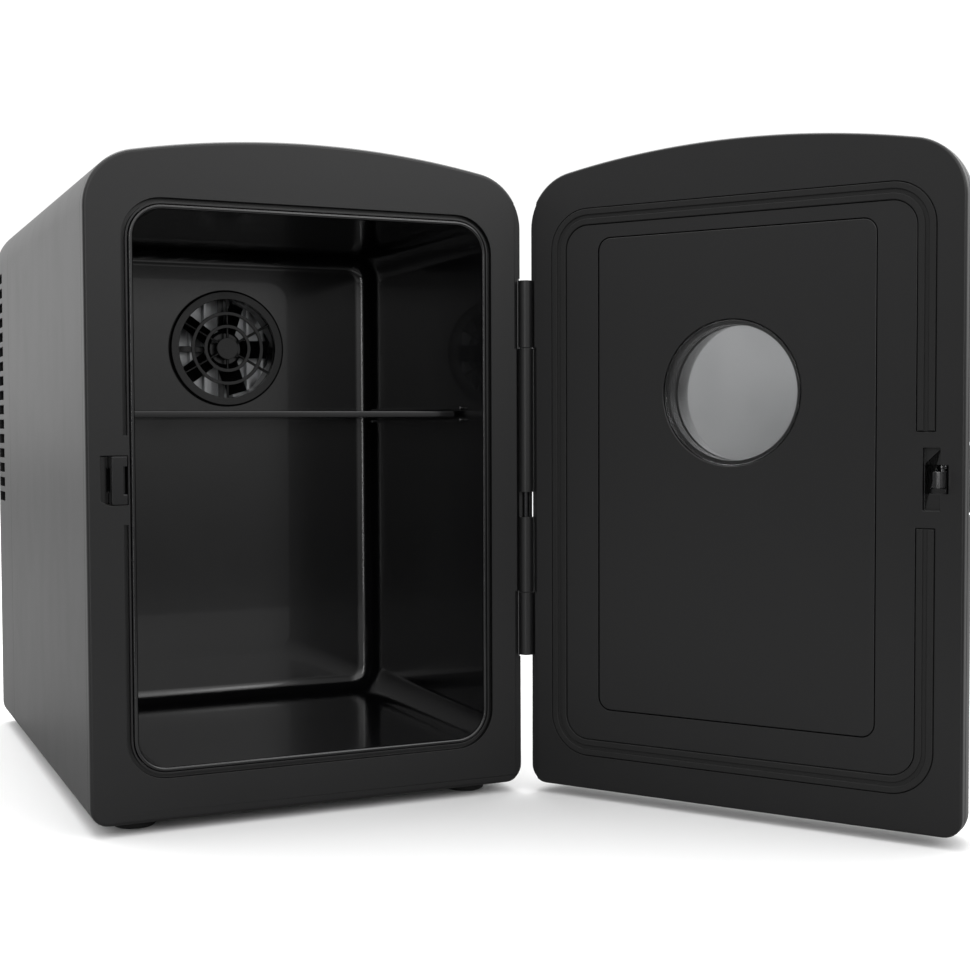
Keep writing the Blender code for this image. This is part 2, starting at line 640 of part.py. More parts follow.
# ---- cavity liner, shelf and insulation -------------------------------------------------
def build_liner():
    """The moulded tub with its lip, the shelf rails and the fan opening."""
    back = CAVITY_DEPTH + LINER_WALL
    liner = plate("cavity_liner", [cavity_outline(LINER_WALL)], -BEAD_PROUD + 0.4 * MM, back,
                  BLACK_LINER)
    join(liner, layered("lip", [
        (cavity_outline(0.6 * BEAD_WIDTH), -BEAD_PROUD),
        (cavity_outline(BEAD_WIDTH - 0.2 * MM), -0.75 * BEAD_PROUD),
        (cavity_outline(BEAD_WIDTH), -0.2 * BEAD_PROUD),
        (cavity_outline(BEAD_WIDTH), BEAD_DEPTH)], group=CUTTERS))
    cut(liner, plate("cavity", [cavity_outline()], -5 * MM, CAVITY_DEPTH, group=CUTTERS))
    slot = SHELF_SLOT / 2
    rail_back = SHELF_SETBACK + SHELF_DEPTH
    for side in SIDES:
        outer = side * (CAVITY_HALF + LINER_WALL / 2)
        inner = side * (CAVITY_HALF - RAIL_PROUD)
        for level, low in (("upper", SHELF_HEIGHT + slot), ("lower", SHELF_HEIGHT - slot - RAIL_THICK)):
            name = f"rail_{SIDES[side]}_{level}"
            join(liner, box(name, (min(outer, inner), SHELF_SETBACK - 4 * MM, low),
                            (max(outer, inner), rail_back, low + RAIL_THICK), group=CUTTERS))
    cut(liner, rod("fan_opening", (0, CAVITY_DEPTH - 5 * MM, STACK_HEIGHT),
                   (0, back + 5 * MM, STACK_HEIGHT), GUARD_RADIUS - 3 * MM, group=CUTTERS,
                   segments=40))


def build_shelf():
    """The lift-out shelf between the two upper rows, slotted to let the air fall."""
    reach = CAVITY_HALF - SHELF_SIDE_GAP
    back = SHELF_SETBACK + SHELF_DEPTH
    loops = [rounded_rect(-reach, reach, SHELF_SETBACK, back, 3 * MM, 3)]
    pitch = 2 * reach / (SHELF_SLOTS + 1)
    for index in range(SHELF_SLOTS):
        middle = -reach + pitch * (index + 1)
        loops.append(rounded_rect(middle - 2.5 * MM, middle + 2.5 * MM, SHELF_SETBACK + 16 * MM,
                                  back - 16 * MM, 2.4 * MM, 3))
    return slab("shelf", loops, SHELF_HEIGHT - SHELF_THICK / 2, SHELF_HEIGHT + SHELF_THICK / 2,
                BLACK_LINER)


def build_insulation():
    """The foam block between liner and shell, with a well for the cold side."""
    outline = body_outline(SHELL_WALL + GAP + SPIGOT_WALL + GAP)
    foam = plate("cabinet_insulation", [outline], BEZEL_THICK + GAP, FOAM_BACK, WHITE_FOAM)
    cut(foam, plate("liner_room", [cavity_outline(LINER_WALL + GAP)], 0,
                    CAVITY_DEPTH + LINER_WALL + GAP, group=CUTTERS))
    well = COLD_SINK_SIZE / 2 + 2 * MM
    cut(foam, box("cold_well", (-well, CAVITY_DEPTH, STACK_HEIGHT - well),
                  (well, BLOCK_FRONT, STACK_HEIGHT + well), group=CUTTERS))
    hole = MODULE_SIZE / 2 + GAP
    cut(foam, box("block_hole", (-hole, CAVITY_DEPTH, STACK_HEIGHT - hole),
                  (hole, FOAM_BACK + 9 * MM, STACK_HEIGHT + hole), group=CUTTERS))
    half = KEEPER_HEIGHT / 2 + 1 * MM
    cut(foam, box("keeper_room", (POCKET_LEFT - 1 * MM, 0, LATCH_HEIGHT - half),
                  (KEEPER_RIGHT + 3 * MM, KEEPER_DEPTH + 1 * MM, LATCH_HEIGHT + half),
                  group=CUTTERS))
    for index, (x, y) in enumerate(foot_places()):
        cut(foam, rod(f"stem_room_{index + 1}", (x, y, 0), (x, y, BASE_Z + 8 * MM),
                      STEM_RADIUS + 1 * MM, group=CUTTERS))
    for side in SIDES:
        cut(foam, rod(f"bracket_stem_room_{SIDES[side]}", bracket_point(side, -STEM_LENGTH - 1 * MM),
                      bracket_point(side, 9 * MM), STEM_RADIUS + 1 * MM, group=CUTTERS))


# ---- feet -------------------------------------------------------------------------------
def foot_places():
    """Where the four feet stand, as (x, y)."""
    reach = HALF - FOOT_INSET_X
    rear = COVER_START - FOOT_INSET_Y
    return [(-reach, FOOT_INSET_Y), (reach, FOOT_INSET_Y), (-reach, rear), (reach, rear)]


def build_feet():
    """Four rubber feet pushed into the shell by their stems."""
    for index, (x, y) in enumerate(foot_places()):
        foot = rod(f"foot_{index + 1}", (x, y, 0), (x, y, FOOT_HEIGHT - GAP), 0.9 * FOOT_RADIUS,
                   DARK_RUBBER, end_radius=FOOT_RADIUS, segments=20)
        join(foot, rod(f"foot_stem_{index + 1}", (x, y, 1 * MM),
                       (x, y, FOOT_HEIGHT + STEM_LENGTH), STEM_RADIUS, group=CUTTERS))


# ---- cooling stack ----------------------------------------------------------------------
def build_guard():
    """The round guard over the inner fan: rings joined by spokes, with a short collar."""
    front = CAVITY_DEPTH - 2.2 * MM
    face = CAVITY_DEPTH - GAP
    middle = (0, STACK_HEIGHT)
    guard = turned("inner_fan_guard", [(GUARD_RADIUS, front + 0.8 * MM), (GUARD_RADIUS, face),
                                       (GUARD_RADIUS - 4.2 * MM, face),
                                       (GUARD_RADIUS - 4.2 * MM, front),
                                       (GUARD_RADIUS - 0.8 * MM, front)], middle, BLACK_TRIM)
    for index, radius in enumerate((17 * MM, 11 * MM)):
        join(guard, turned(f"guard_ring_{index + 1}",
                           [(radius, front), (radius, front + 1.4 * MM),
                            (radius - 1.6 * MM, front + 1.4 * MM), (radius - 1.6 * MM, front)],
                           middle, group=CUTTERS, segments=24))
    join(guard, rod("guard_hub", (0, front, STACK_HEIGHT), (0, front + 1.4 * MM, STACK_HEIGHT),
                    5 * MM, group=CUTTERS))
    for index in range(3):
        angle = math.radians(60 * index + 30)
        across = Vector((math.cos(angle), 0, math.sin(angle)))
        spoke = box(f"guard_spoke_{index + 1}", (-GUARD_RADIUS + 2 * MM, 0.1 * MM, -0.8 * MM),
                    (GUARD_RADIUS - 2 * MM, 1.3 * MM, 0.8 * MM), group=CUTTERS)
        turn = Vector((1, 0, 0)).rotation_difference(across).to_matrix().to_4x4()
        spoke.data.transform(Matrix.Translation((0, front, STACK_HEIGHT)) @ turn)
        join(guard, spoke)


def build_fan(name, size, depth, front, blades):
    """A square-framed axial fan; returns its rotor, whose hub stands ahead of the frame's arms."""
    half = size / 2
    duct = half - 2 * MM
    hub = 0.36 * duct
    back = front + depth
    middle = (0, STACK_HEIGHT)
    frame = plate(f"{name}_frame",
                  [rounded_rect(-half, half, STACK_HEIGHT - half, STACK_HEIGHT + half, 3 * MM, 3),
                   arc(0, STACK_HEIGHT, duct, 0, 360, 40)[:-1]], front, back, BLACK_TRIM)
    arm_front = back - 1.6 * MM
    for index in range(2):
        reach = (duct + 1 * MM, 1.3 * MM) if index == 0 else (1.3 * MM, duct + 1 * MM)
        join(frame, box(f"{name}_arm_{index + 1}",
                        (-reach[0], arm_front, STACK_HEIGHT - reach[1]),
                        (reach[0], back, STACK_HEIGHT + reach[1]), group=CUTTERS))
    join(frame, rod(f"{name}_motor", (0, arm_front, STACK_HEIGHT), (0, back, STACK_HEIGHT), hub,
                    group=CUTTERS, segments=28))
    rotor_front = front + 0.8 * MM
    rotor_back = arm_front - RUNNING_GAP
    rotor = turned(f"{name}_rotor", [(0, rotor_front), (hub - 1 * MM, rotor_front),
                                     (hub, rotor_front + 1 * MM), (hub, rotor_back),
                                     (0, rotor_back)], middle, BLACK_TRIM, segments=28)
    pitch = math.radians(38)
    chord = 0.82 * (rotor_back - rotor_front) / math.sin(pitch)
    tip = math.sqrt((duct - 1 * MM) ** 2 - (chord / 2 * math.cos(pitch) + 0.5 * MM) ** 2)
    for index in range(blades):
        blade = box(f"{name}_blade_{index + 1}", (hub - 1 * MM, -0.45 * MM, -chord / 2),
                    (tip, 0.45 * MM, chord / 2), group=CUTTERS)
        lean = Matrix.Rotation(pitch, 4, "X")
        spin = Matrix.Rotation(2 * math.pi * index / blades, 4, "Y")
        place = Matrix.Translation((0, (rotor_front + rotor_back) / 2, STACK_HEIGHT))
        blade.data.transform(place @ spin @ lean)
        join(rotor, blade)
    return rotor


def comb_outline(width, base_front, base_back, fin_back, fins, fin_thick):
    """A plan outline of a finned sink: a base and fins that stand towards fin_back."""
    half = width / 2
    pitch = (width - fin_thick) / (fins - 1)
    points = [(half, base_front), (-half, base_front)]
    for index in range(fins):
        left = -half + pitch * index
        if index:
            points.append((left, base_back))
        points.append((left, fin_back))
        points.append((left + fin_thick, fin_back))
        if index < fins - 1:
            points.append((left + fin_thick, base_back))
    return points


def build_cooling():
    """Fans, sinks, spacer block and thermoelectric module, stacked along Y."""
    half = COLD_SINK_SIZE / 2
    slab("cold_sink", [comb_outline(COLD_SINK_SIZE, COLD_SINK_FRONT + COLD_SINK_DEPTH,
                                    COLD_SINK_FRONT + COLD_SINK_DEPTH - 3 * MM,
                                    COLD_SINK_FRONT, 9, 1.4 * MM)],
         STACK_HEIGHT - half, STACK_HEIGHT + half, ALUMINIUM)
    side = MODULE_SIZE / 2
    box("spacer_block", (-side, BLOCK_FRONT, STACK_HEIGHT - side),
        (side, CHASSIS_BACK, STACK_HEIGHT + side), ALUMINIUM)
    box("thermoelectric_module", (-side, MODULE_FRONT, STACK_HEIGHT - side),
        (side, MODULE_FRONT + MODULE_THICK, STACK_HEIGHT + side), WHITE_CERAMIC)
    half = HOT_SINK_HEIGHT / 2
    slab("hot_sink", [comb_outline(HOT_SINK_WIDTH, SINK_FRONT, SINK_FRONT + 5 * MM,
                                   SINK_FRONT + HOT_SINK_DEPTH, HOT_SINK_FINS, 1.6 * MM)],
         STACK_HEIGHT - half, STACK_HEIGHT + half, ALUMINIUM)
    inner = build_fan("inner_fan", INNER_FAN_SIZE, INNER_FAN_DEPTH, FAN_FRONT, 5)
    rear = build_fan("rear_fan", REAR_FAN_SIZE, REAR_FAN_DEPTH, REAR_FAN_FRONT, 7)
    return inner, rear


# ---- rear chassis, cover and fittings ---------------------------------------------------
def post_places():
    """The four screw posts, as (x, z)."""
    reach = HALF - POST_INSET
    low = BASE_Z + POST_RISE
    high = TOP_Z - POST_DROP
    return [(-reach, low), (reach, low), (-reach, high), (reach, high)]


def build_chassis():
    """The plate behind the foam, with a hole for the block and a post for each screw."""
    outline = body_outline(SHELL_WALL + GAP)
    hole = MODULE_SIZE / 2 + GAP
    chassis = plate("rear_chassis", [outline, rounded_rect(-hole, hole, STACK_HEIGHT - hole,
                                                           STACK_HEIGHT + hole, 0.5 * MM, 1)],
                    CHASSIS_FRONT, CHASSIS_BACK, BLACK_TRIM)
    tip = CABINET_DEPTH - SHELL_WALL - GAP
    for index, (x, z) in enumerate(post_places()):
        join(chassis, rod(f"post_{index + 1}", (x, CHASSIS_BACK - 1 * MM, z), (x, tip, z), POST_RADIUS,
                          group=CUTTERS))
        cut(chassis, rod(f"post_bore_{index + 1}", (x, tip - 14 * MM, z), (x, tip + 5 * MM, z),
                         SCREW_SHANK + GAP, group=CUTTERS, segments=16))
    return chassis


def build_rear_cover():
    """The cap over the works: round rear edge, side vents, fan grille and fitting holes."""
    back = CABINET_DEPTH
    cover = layered("rear_cover", [
        (body_outline(), COVER_START),
        (body_outline(), back - REAR_EDGE),
        (body_outline(0.15 * REAR_EDGE), back - 0.48 * REAR_EDGE),
        (body_outline(0.5 * REAR_EDGE), back - 0.14 * REAR_EDGE),
        (body_outline(REAR_EDGE), back)], BLACK_CASE)
    inner_edge = REAR_EDGE - SHELL_WALL
    cut(cover, layered("cover_room", [
        (body_outline(SHELL_WALL), COVER_START - 5 * MM),
        (body_outline(SHELL_WALL), back - REAR_EDGE),
        (body_outline(SHELL_WALL + inner_edge), back - SHELL_WALL)], group=CUTTERS))
    vent_back = back - VENT_REAR_MARGIN
    for index in range(VENT_COUNT):
        high = VENT_TOP - VENT_PITCH * index
        cut(cover, box(f"side_vent_{index + 1}", (-HALF - 5 * MM, vent_back - VENT_LENGTH,
                                                  high - VENT_SLOT),
                       (HALF + 5 * MM, vent_back, high), group=CUTTERS))
    pitch = REAR_FAN_SIZE / GRILLE_BARS
    for index in range(GRILLE_BARS):
        offset = pitch * (index - (GRILLE_BARS - 1) / 2)
        reach = math.sqrt((REAR_FAN_SIZE / 2 + 2 * MM) ** 2 - offset ** 2)
        low = STACK_HEIGHT + offset - 2.4 * MM
        cut(cover, plate(f"grille_slot_{index + 1}",
                         [rounded_rect(-reach, reach, low, low + 4.8 * MM, 2.3 * MM, 3)],
                         back - 9 * MM, back + 5 * MM, group=CUTTERS))
    for index, (x, z) in enumerate(post_places()):
        cut(cover, rod(f"screw_hole_{index + 1}", (x, back - 9 * MM, z), (x, back + 5 * MM, z),
                       SCREW_SHANK + GAP, group=CUTTERS, segments=16))
    for hole in fitting_holes():
        cut(cover, hole)


def build_cover_screws():
    """Pan-head screws through the cover into the chassis posts."""
    back = CABINET_DEPTH
    for index, (x, z) in enumerate(post_places()):
        screw = rod(f"cover_screw_{index + 1}", (x, back + GAP, z), (x, back + 2.1 * MM, z),
                    SCREW_HEAD, STEEL, segments=14, end_radius=0.8 * SCREW_HEAD)
        join(screw, rod(f"screw_shank_{index + 1}", (x, back - 12 * MM, z), (x, back + 1 * MM, z),
                        SCREW_SHANK, group=CUTTERS, segments=8))
        cut(screw, box(f"screw_drive_{index + 1}", (x - 1.9 * MM, back + 1.4 * MM, z - 0.4 * MM),
                       (x + 1.9 * MM, back + 5 * MM, z + 0.4 * MM), group=CUTTERS))


def fitting_outline(across, width, height, radius=2 * MM):
    """A rounded rectangle round a rear fitting's centre."""
    return rounded_rect(across - width / 2, across + width / 2, FITTING_HEIGHT - height / 2,
                        FITTING_HEIGHT + height / 2, radius, 3)


def fitting_holes():
    """The cover's holes for the mains inlet, the low-voltage socket and the switch."""
    front = CABINET_DEPTH - 9 * MM
    back = CABINET_DEPTH + 5 * MM
    return [plate("inlet_hole", [fitting_outline(INLET_X, INLET_WIDTH + 2 * GAP,
                                                 INLET_HEIGHT + 2 * GAP)],
                  front, back, group=CUTTERS),
            rod("socket_hole", (SOCKET_X, front, FITTING_HEIGHT), (SOCKET_X, back, FITTING_HEIGHT),
                SOCKET_RADIUS + GAP, group=CUTTERS, segments=24),
            plate("switch_hole", [fitting_outline(SWITCH_X, SWITCH_WIDTH + 2 * GAP,
                                                  SWITCH_HEIGHT + 2 * GAP)],
                  front, back, group=CUTTERS)]


def build_fittings():
    """Mains inlet, low-voltage socket and the rocker switch in its frame."""
    seat = CABINET_DEPTH + GAP
    face = seat + FITTING_FLANGE
    root = seat - 16 * MM
    inlet = plate("mains_inlet", [fitting_outline(INLET_X, INLET_WIDTH + 6 * MM,
                                                  INLET_HEIGHT + 5 * MM, 3 * MM)],
                  seat, face, BLACK_TRIM)
    join(inlet, plate("inlet_body", [fitting_outline(INLET_X, INLET_WIDTH, INLET_HEIGHT)],
                      root, seat + 0.5 * MM, group=CUTTERS))
    for index, offset in enumerate((-3.3 * MM, 3.3 * MM)):
        x = INLET_X + offset
        cut(inlet, rod(f"inlet_well_{index + 1}", (x, face - 11 * MM, FITTING_HEIGHT),
                       (x, face + 5 * MM, FITTING_HEIGHT), 3.5 * MM, group=CUTTERS, segments=20))
    for index, offset in enumerate((-4 * MM, 4 * MM)):
        x = INLET_X + offset
        join(inlet, rod(f"inlet_contact_{index + 1}", (x, face - 13 * MM, FITTING_HEIGHT),
                        (x, face - 2 * MM, FITTING_HEIGHT), 1.1 * MM, group=CUTTERS, segments=12))
    flange = SOCKET_RADIUS + 2 * MM
    floor = face - 12 * MM
    turned("low_voltage_socket", [(0, root), (SOCKET_RADIUS, root), (SOCKET_RADIUS, seat),
                                  (flange, seat), (flange, face - 0.5 * MM),
                                  (flange - 0.6 * MM, face), (SOCKET_BORE, face),
                                  (SOCKET_BORE, floor), (SOCKET_PIN, floor),
                                  (SOCKET_PIN, face - 3 * MM), (0, face - 3 * MM)],
           (SOCKET_X, FITTING_HEIGHT), BLACK_TRIM, segments=32)
    frame = plate("switch_frame", [fitting_outline(SWITCH_X, SWITCH_WIDTH + 4 * MM,
                                                   SWITCH_HEIGHT + 4 * MM, 2.5 * MM)],
                  seat, face, BLACK_TRIM)
    join(frame, plate("switch_body", [fitting_outline(SWITCH_X, SWITCH_WIDTH, SWITCH_HEIGHT)],
                      seat - 14 * MM, seat + 0.5 * MM, group=CUTTERS))
    cut(frame, plate("switch_well", [fitting_outline(SWITCH_X, WELL_WIDTH, WELL_HEIGHT, 0.8 * MM)],
                     face - 10 * MM, face + 5 * MM, group=CUTTERS))
    reach = WELL_HEIGHT / 2 - RUNNING_GAP
    half = WELL_WIDTH / 2 - RUNNING_GAP
    profile = arc(SWITCH_Y, FITTING_HEIGHT, reach, 58, 115, 4)
    profile += arc(SWITCH_Y, FITTING_HEIGHT, reach, 245, 302, 4)
    profile += [(SWITCH_Y + 2.6 * MM, FITTING_HEIGHT)]
    return bar("mode_switch", [profile], SWITCH_X - half, SWITCH_X + half, BLACK_TRIM)


def build_board():
    """The control board on four stand-offs, with its coils and capacitors."""
    front = CHASSIS_BACK + BOARD_STANDOFF
    back = front + BOARD_THICK
    high = BOARD_TOP
    low = high - BOARD_HEIGHT
    half = BOARD_WIDTH / 2
    board = box("control_board", (-half, front, low), (half, back, high), BOARD_GREEN)
    for index, (x, z, radius, height) in enumerate((
            (-26 * MM, low + 16 * MM, 6 * MM, 15 * MM), (-8 * MM, low + 32 * MM, 5 * MM, 12 * MM),
            (-8 * MM, low + 15 * MM, 4 * MM, 11 * MM))):
        join(board, rod(f"capacitor_{index + 1}", (x, front + 0.5 * MM, z), (x, back + height, z),
                        radius, group=CUTTERS, segments=20))
    join(board, box("transformer", (8 * MM, front + 0.5 * MM, low + 10 * MM),
                    (30 * MM, back + 16 * MM, low + 30 * MM), group=CUTTERS))
    join(board, box("regulator", (4 * MM, front + 0.5 * MM, low + 36 * MM),
                    (18 * MM, back + 4 * MM, low + 44 * MM), group=CUTTERS))
    inset = 6 * MM
    return [(x, z) for x in (inset - half, half - inset) for z in (low + inset, high - inset)], front


# ---- carry handle -----------------------------------------------------------------------
def bracket_point(side, rise):
    """A point over a handle bracket, rise above the arched top there."""
    across = HANDLE_SPAN / 2
    arch_z = TOP_Z - TOP_RADIUS + math.sqrt(TOP_RADIUS ** 2 - across ** 2)
    return (side * across, HANDLE_PLACE, arch_z + rise)


def build_brackets():
    """Two brackets that follow the arch, with stems in the shell and a bore for the pins."""
    for side in SIDES:
        x = side * HANDLE_SPAN / 2
        half = BRACKET_LENGTH / 2
        bracket = box(f"handle_bracket_{SIDES[side]}",
                      (x - BRACKET_WIDTH / 2, HANDLE_PLACE - half, TOP_Z - 20 * MM),
                      (x + BRACKET_WIDTH / 2, HANDLE_PLACE + half, HANDLE_Z), BLACK_CASE)
        start = (x - BRACKET_WIDTH / 2, HANDLE_PLACE, HANDLE_Z)
        end = (x + BRACKET_WIDTH / 2, HANDLE_PLACE, HANDLE_Z)
        join(bracket, rod(f"bracket_crown_{SIDES[side]}", start, end, BRACKET_CROWN, group=CUTTERS))
        cut(bracket, plate(f"arch_under_{SIDES[side]}", [body_outline(-GAP)],
                           0, CABINET_DEPTH, group=CUTTERS))
        join(bracket, rod(f"bracket_stem_{SIDES[side]}", bracket_point(side, -STEM_LENGTH),
                          bracket_point(side, 3 * MM), STEM_RADIUS, group=CUTTERS))
        reach = Vector((9 * MM, 0, 0))
        cut(bracket, rod(f"bracket_bore_{SIDES[side]}", Vector(start) - reach,
                         Vector(end) + reach, HANDLE_PIN_RADIUS + GAP, group=CUTTERS, segments=20))


def build_handle():
    """The bail, lying back on the arch, and the two pins it turns on."""
    leg = HANDLE_SPAN / 2 - BRACKET_WIDTH / 2 - RUNNING_GAP - HANDLE_BAR
    far = HANDLE_PLACE + HANDLE_REACH
    near = HANDLE_PLACE - HANDLE_BAR
    path = [(leg, near)]
    path += arc(leg - HANDLE_CORNER, far - HANDLE_CORNER, HANDLE_CORNER, 0, 90, 6)
    path += arc(HANDLE_CORNER - leg, far - HANDLE_CORNER, HANDLE_CORNER, 90, 180, 6)
    path += [(-leg, near)]
    curve = bpy.data.curves.new("bail", "CURVE")
    curve.dimensions = "3D"
    curve.bevel_depth = HANDLE_BAR
    curve.bevel_resolution = 2
    curve.use_fill_caps = True
    spline = curve.splines.new("POLY")
    spline.points.add(len(path) - 1)
    for point, (x, y) in zip(spline.points, path):
        point.co = (x, y, HANDLE_Z, 1)
    drawn = bpy.data.objects.new("bail", curve)
    handle = meshed(drawn, "carry_handle", BLACK_CASE)
    grip = HANDLE_GRIP_LENGTH / 2
    join(handle, rod("handle_grip", (-grip, far, HANDLE_Z), (grip, far, HANDLE_Z), HANDLE_GRIP,
                     group=CUTTERS))
    for side in SIDES:
        outer = side * (HANDLE_SPAN / 2 + BRACKET_WIDTH / 2)
        inner = side * (leg - HANDLE_BAR)
        cut(handle, rod(f"handle_bore_{SIDES[side]}",
                        (inner - side * 5 * MM, HANDLE_PLACE, HANDLE_Z),
                        (outer + side * 5 * MM, HANDLE_PLACE, HANDLE_Z),
                        HANDLE_PIN_RADIUS + GAP, group=CUTTERS, segments=20))
        rod(f"handle_pin_{SIDES[side]}", (inner, HANDLE_PLACE, HANDLE_Z),
            (outer, HANDLE_PLACE, HANDLE_Z), HANDLE_PIN_RADIUS, STEEL, segments=20)
    return handle


def meshed(drawn, name, material):
    """Turn a bevelled curve into a mesh object with its caps welded on."""
    bpy.context.scene.collection.objects.link(drawn)
    graph = bpy.context.evaluated_depsgraph_get()
    mesh = bpy.data.meshes.new_from_object(drawn.evaluated_get(graph))
    mesh.name = name
    bpy.data.objects.remove(drawn, do_unlink=True)
    shape = bmesh.new()
    shape.from_mesh(mesh)
    bmesh.ops.remove_doubles(shape, verts=shape.verts, dist=1e-6)
    bmesh.ops.recalc_face_normals(shape, faces=shape.faces)
    shape.to_mesh(mesh)
    shape.free()
    return add_mesh(name, mesh, material)


# ---- latch ------------------------------------------------------------------------------
def build_keeper():
    """The plate that the hook catches behind, beside its slot in the bezel."""
    half = KEEPER_HEIGHT / 2 - GAP
    low = LATCH_HEIGHT - half
    high = LATCH_HEIGHT + half
    keeper = box("latch_keeper", (KEEPER_EDGE, -KEEPER_PROUD, low),
                 (KEEPER_RIGHT - GAP, KEEPER_DEPTH, high), BLACK_TRIM)
    join(keeper, box("keeper_back", (POCKET_LEFT + GAP, SLOT_DEPTH, low),
                     (KEEPER_EDGE + 1 * MM, KEEPER_DEPTH, high), group=CUTTERS))
    cut(keeper, box("hook_room", (KEEPER_EDGE - 1 * MM, KEEPER_PLATE, HOOK_LOW - 1.6 * MM),
                    (KEEPER_EDGE + 3 * MM, SLOT_DEPTH, HOOK_HIGH + 1.6 * MM), group=CUTTERS))
    notch = 0.28 * KEEPER_HEIGHT
    cut(keeper, box("keeper_notch", (KEEPER_RIGHT - 1.7 * MM, -5 * MM, LATCH_HEIGHT - notch),
                    (KEEPER_RIGHT + 5 * MM, 3 * MM, LATCH_HEIGHT + notch), group=CUTTERS))


def door_side(depth):
    """Distance in from the cabinet's side to the door shell's surface, depth in front of 0."""
    start = PANEL_THICK + DOOR_GAP + GAP
    share = (depth - start) / (DOOR_THICK - PANEL_THICK - GAP)
    return DOOR_CROWN_INSET * (1 - math.sqrt(1 - share ** 2))


def build_lever():
    """The latch lever: hub, hook arm that reaches into the cabinet, and side pad."""
    hub = arc(LATCH_X, LATCH_Y, HUB_RADIUS, -140, 125, 10)
    arm_right = KEEPER_EDGE - RUNNING_GAP
    arm_left = arm_right - HOOK_ARM
    catch = KEEPER_PLATE + RUNNING_GAP
    nose = KEEPER_EDGE + HOOK_NOSE
    tip = SLOT_DEPTH - 0.9 * MM
    hook = [(arm_right, LATCH_Y + 2.2 * MM), (arm_right, catch - 0.1 * MM), (nose, catch + 0.2 * MM),
            (nose - 0.15 * MM, catch + 1.1 * MM), (arm_right - 0.7 * MM, tip),
            (arm_left + 0.5 * MM, tip - 0.1 * MM), (arm_left, tip - 0.9 * MM),
            (arm_left, LATCH_Y + 1 * MM)]
    outer = []
    inner = []
    pad_start = 1 * MM
    for share in (0, 0.2, 0.48, 0.76, 1):
        depth = LATCH_PIVOT_DEPTH + pad_start + share * (PAD_REACH - pad_start)
        surface = -(HALF - door_side(depth)) + 0.15 * MM
        outer.append((surface, -depth))
        inner.append((surface + 2.2 * MM, -depth + 0.4 * MM))
    inner.reverse()
    neck = [(inner[-1][0] + 1 * MM, LATCH_Y - 1.7 * MM)]
    shoulder = [(outer[0][0] + 1 * MM, LATCH_Y + 0.5 * MM)]
    lever = slab("latch_lever", [hub + hook + shoulder + outer + inner[:-1] + neck],
                 HOOK_LOW, HOOK_HIGH, BLACK_TRIM)
    pad = PAD_HEIGHT / 2
    join(lever, slab("lever_pad", [outer + inner], LATCH_HEIGHT - pad, LATCH_HEIGHT + pad,
                     group=CUTTERS))
    cut(lever, rod("lever_bore", (LATCH_X, LATCH_Y, HOOK_LOW - 9 * MM),
                   (LATCH_X, LATCH_Y, HOOK_HIGH + 9 * MM), LATCH_PIN_RADIUS + GAP,
                   group=CUTTERS, segments=16))
    return lever


def lug_spans():
    """The heights of the two lugs that hold the lever's pin."""
    low_top = HOOK_LOW - RUNNING_GAP
    high_bottom = HOOK_HIGH + SPRING_ROOM
    return (low_top - LUG_THICK, low_top), (high_bottom, high_bottom + LUG_THICK)


def build_latch_pin():
    """The lever's pin and the torsion spring wound on it."""
    (low, _), (_, high) = lug_spans()
    rod("latch_pin", (LATCH_X, LATCH_Y, low + 0.4 * MM), (LATCH_X, LATCH_Y, high - 0.4 * MM),
        LATCH_PIN_RADIUS, STEEL, segments=16)
    start = HOOK_HIGH + SPRING_WIRE + GAP
    rise = SPRING_ROOM - 2 * SPRING_WIRE - 2 * GAP
    coil = LATCH_PIN_RADIUS + GAP + SPRING_WIRE + 0.15 * MM
    curve = bpy.data.curves.new("coil", "CURVE")
    curve.dimensions = "3D"
    curve.bevel_depth = SPRING_WIRE
    curve.bevel_resolution = 1
    curve.use_fill_caps = True
    spline = curve.splines.new("POLY")
    steps = 30
    spline.points.add(steps)
    for step, point in enumerate(spline.points):
        angle = 2 * math.pi * 2.5 * step / steps
        point.co = (LATCH_X + coil * math.cos(angle), LATCH_Y + coil * math.sin(angle),
                    start + rise * step / steps, 1)
    meshed(bpy.data.objects.new("coil", curve), "latch_spring", STEEL)


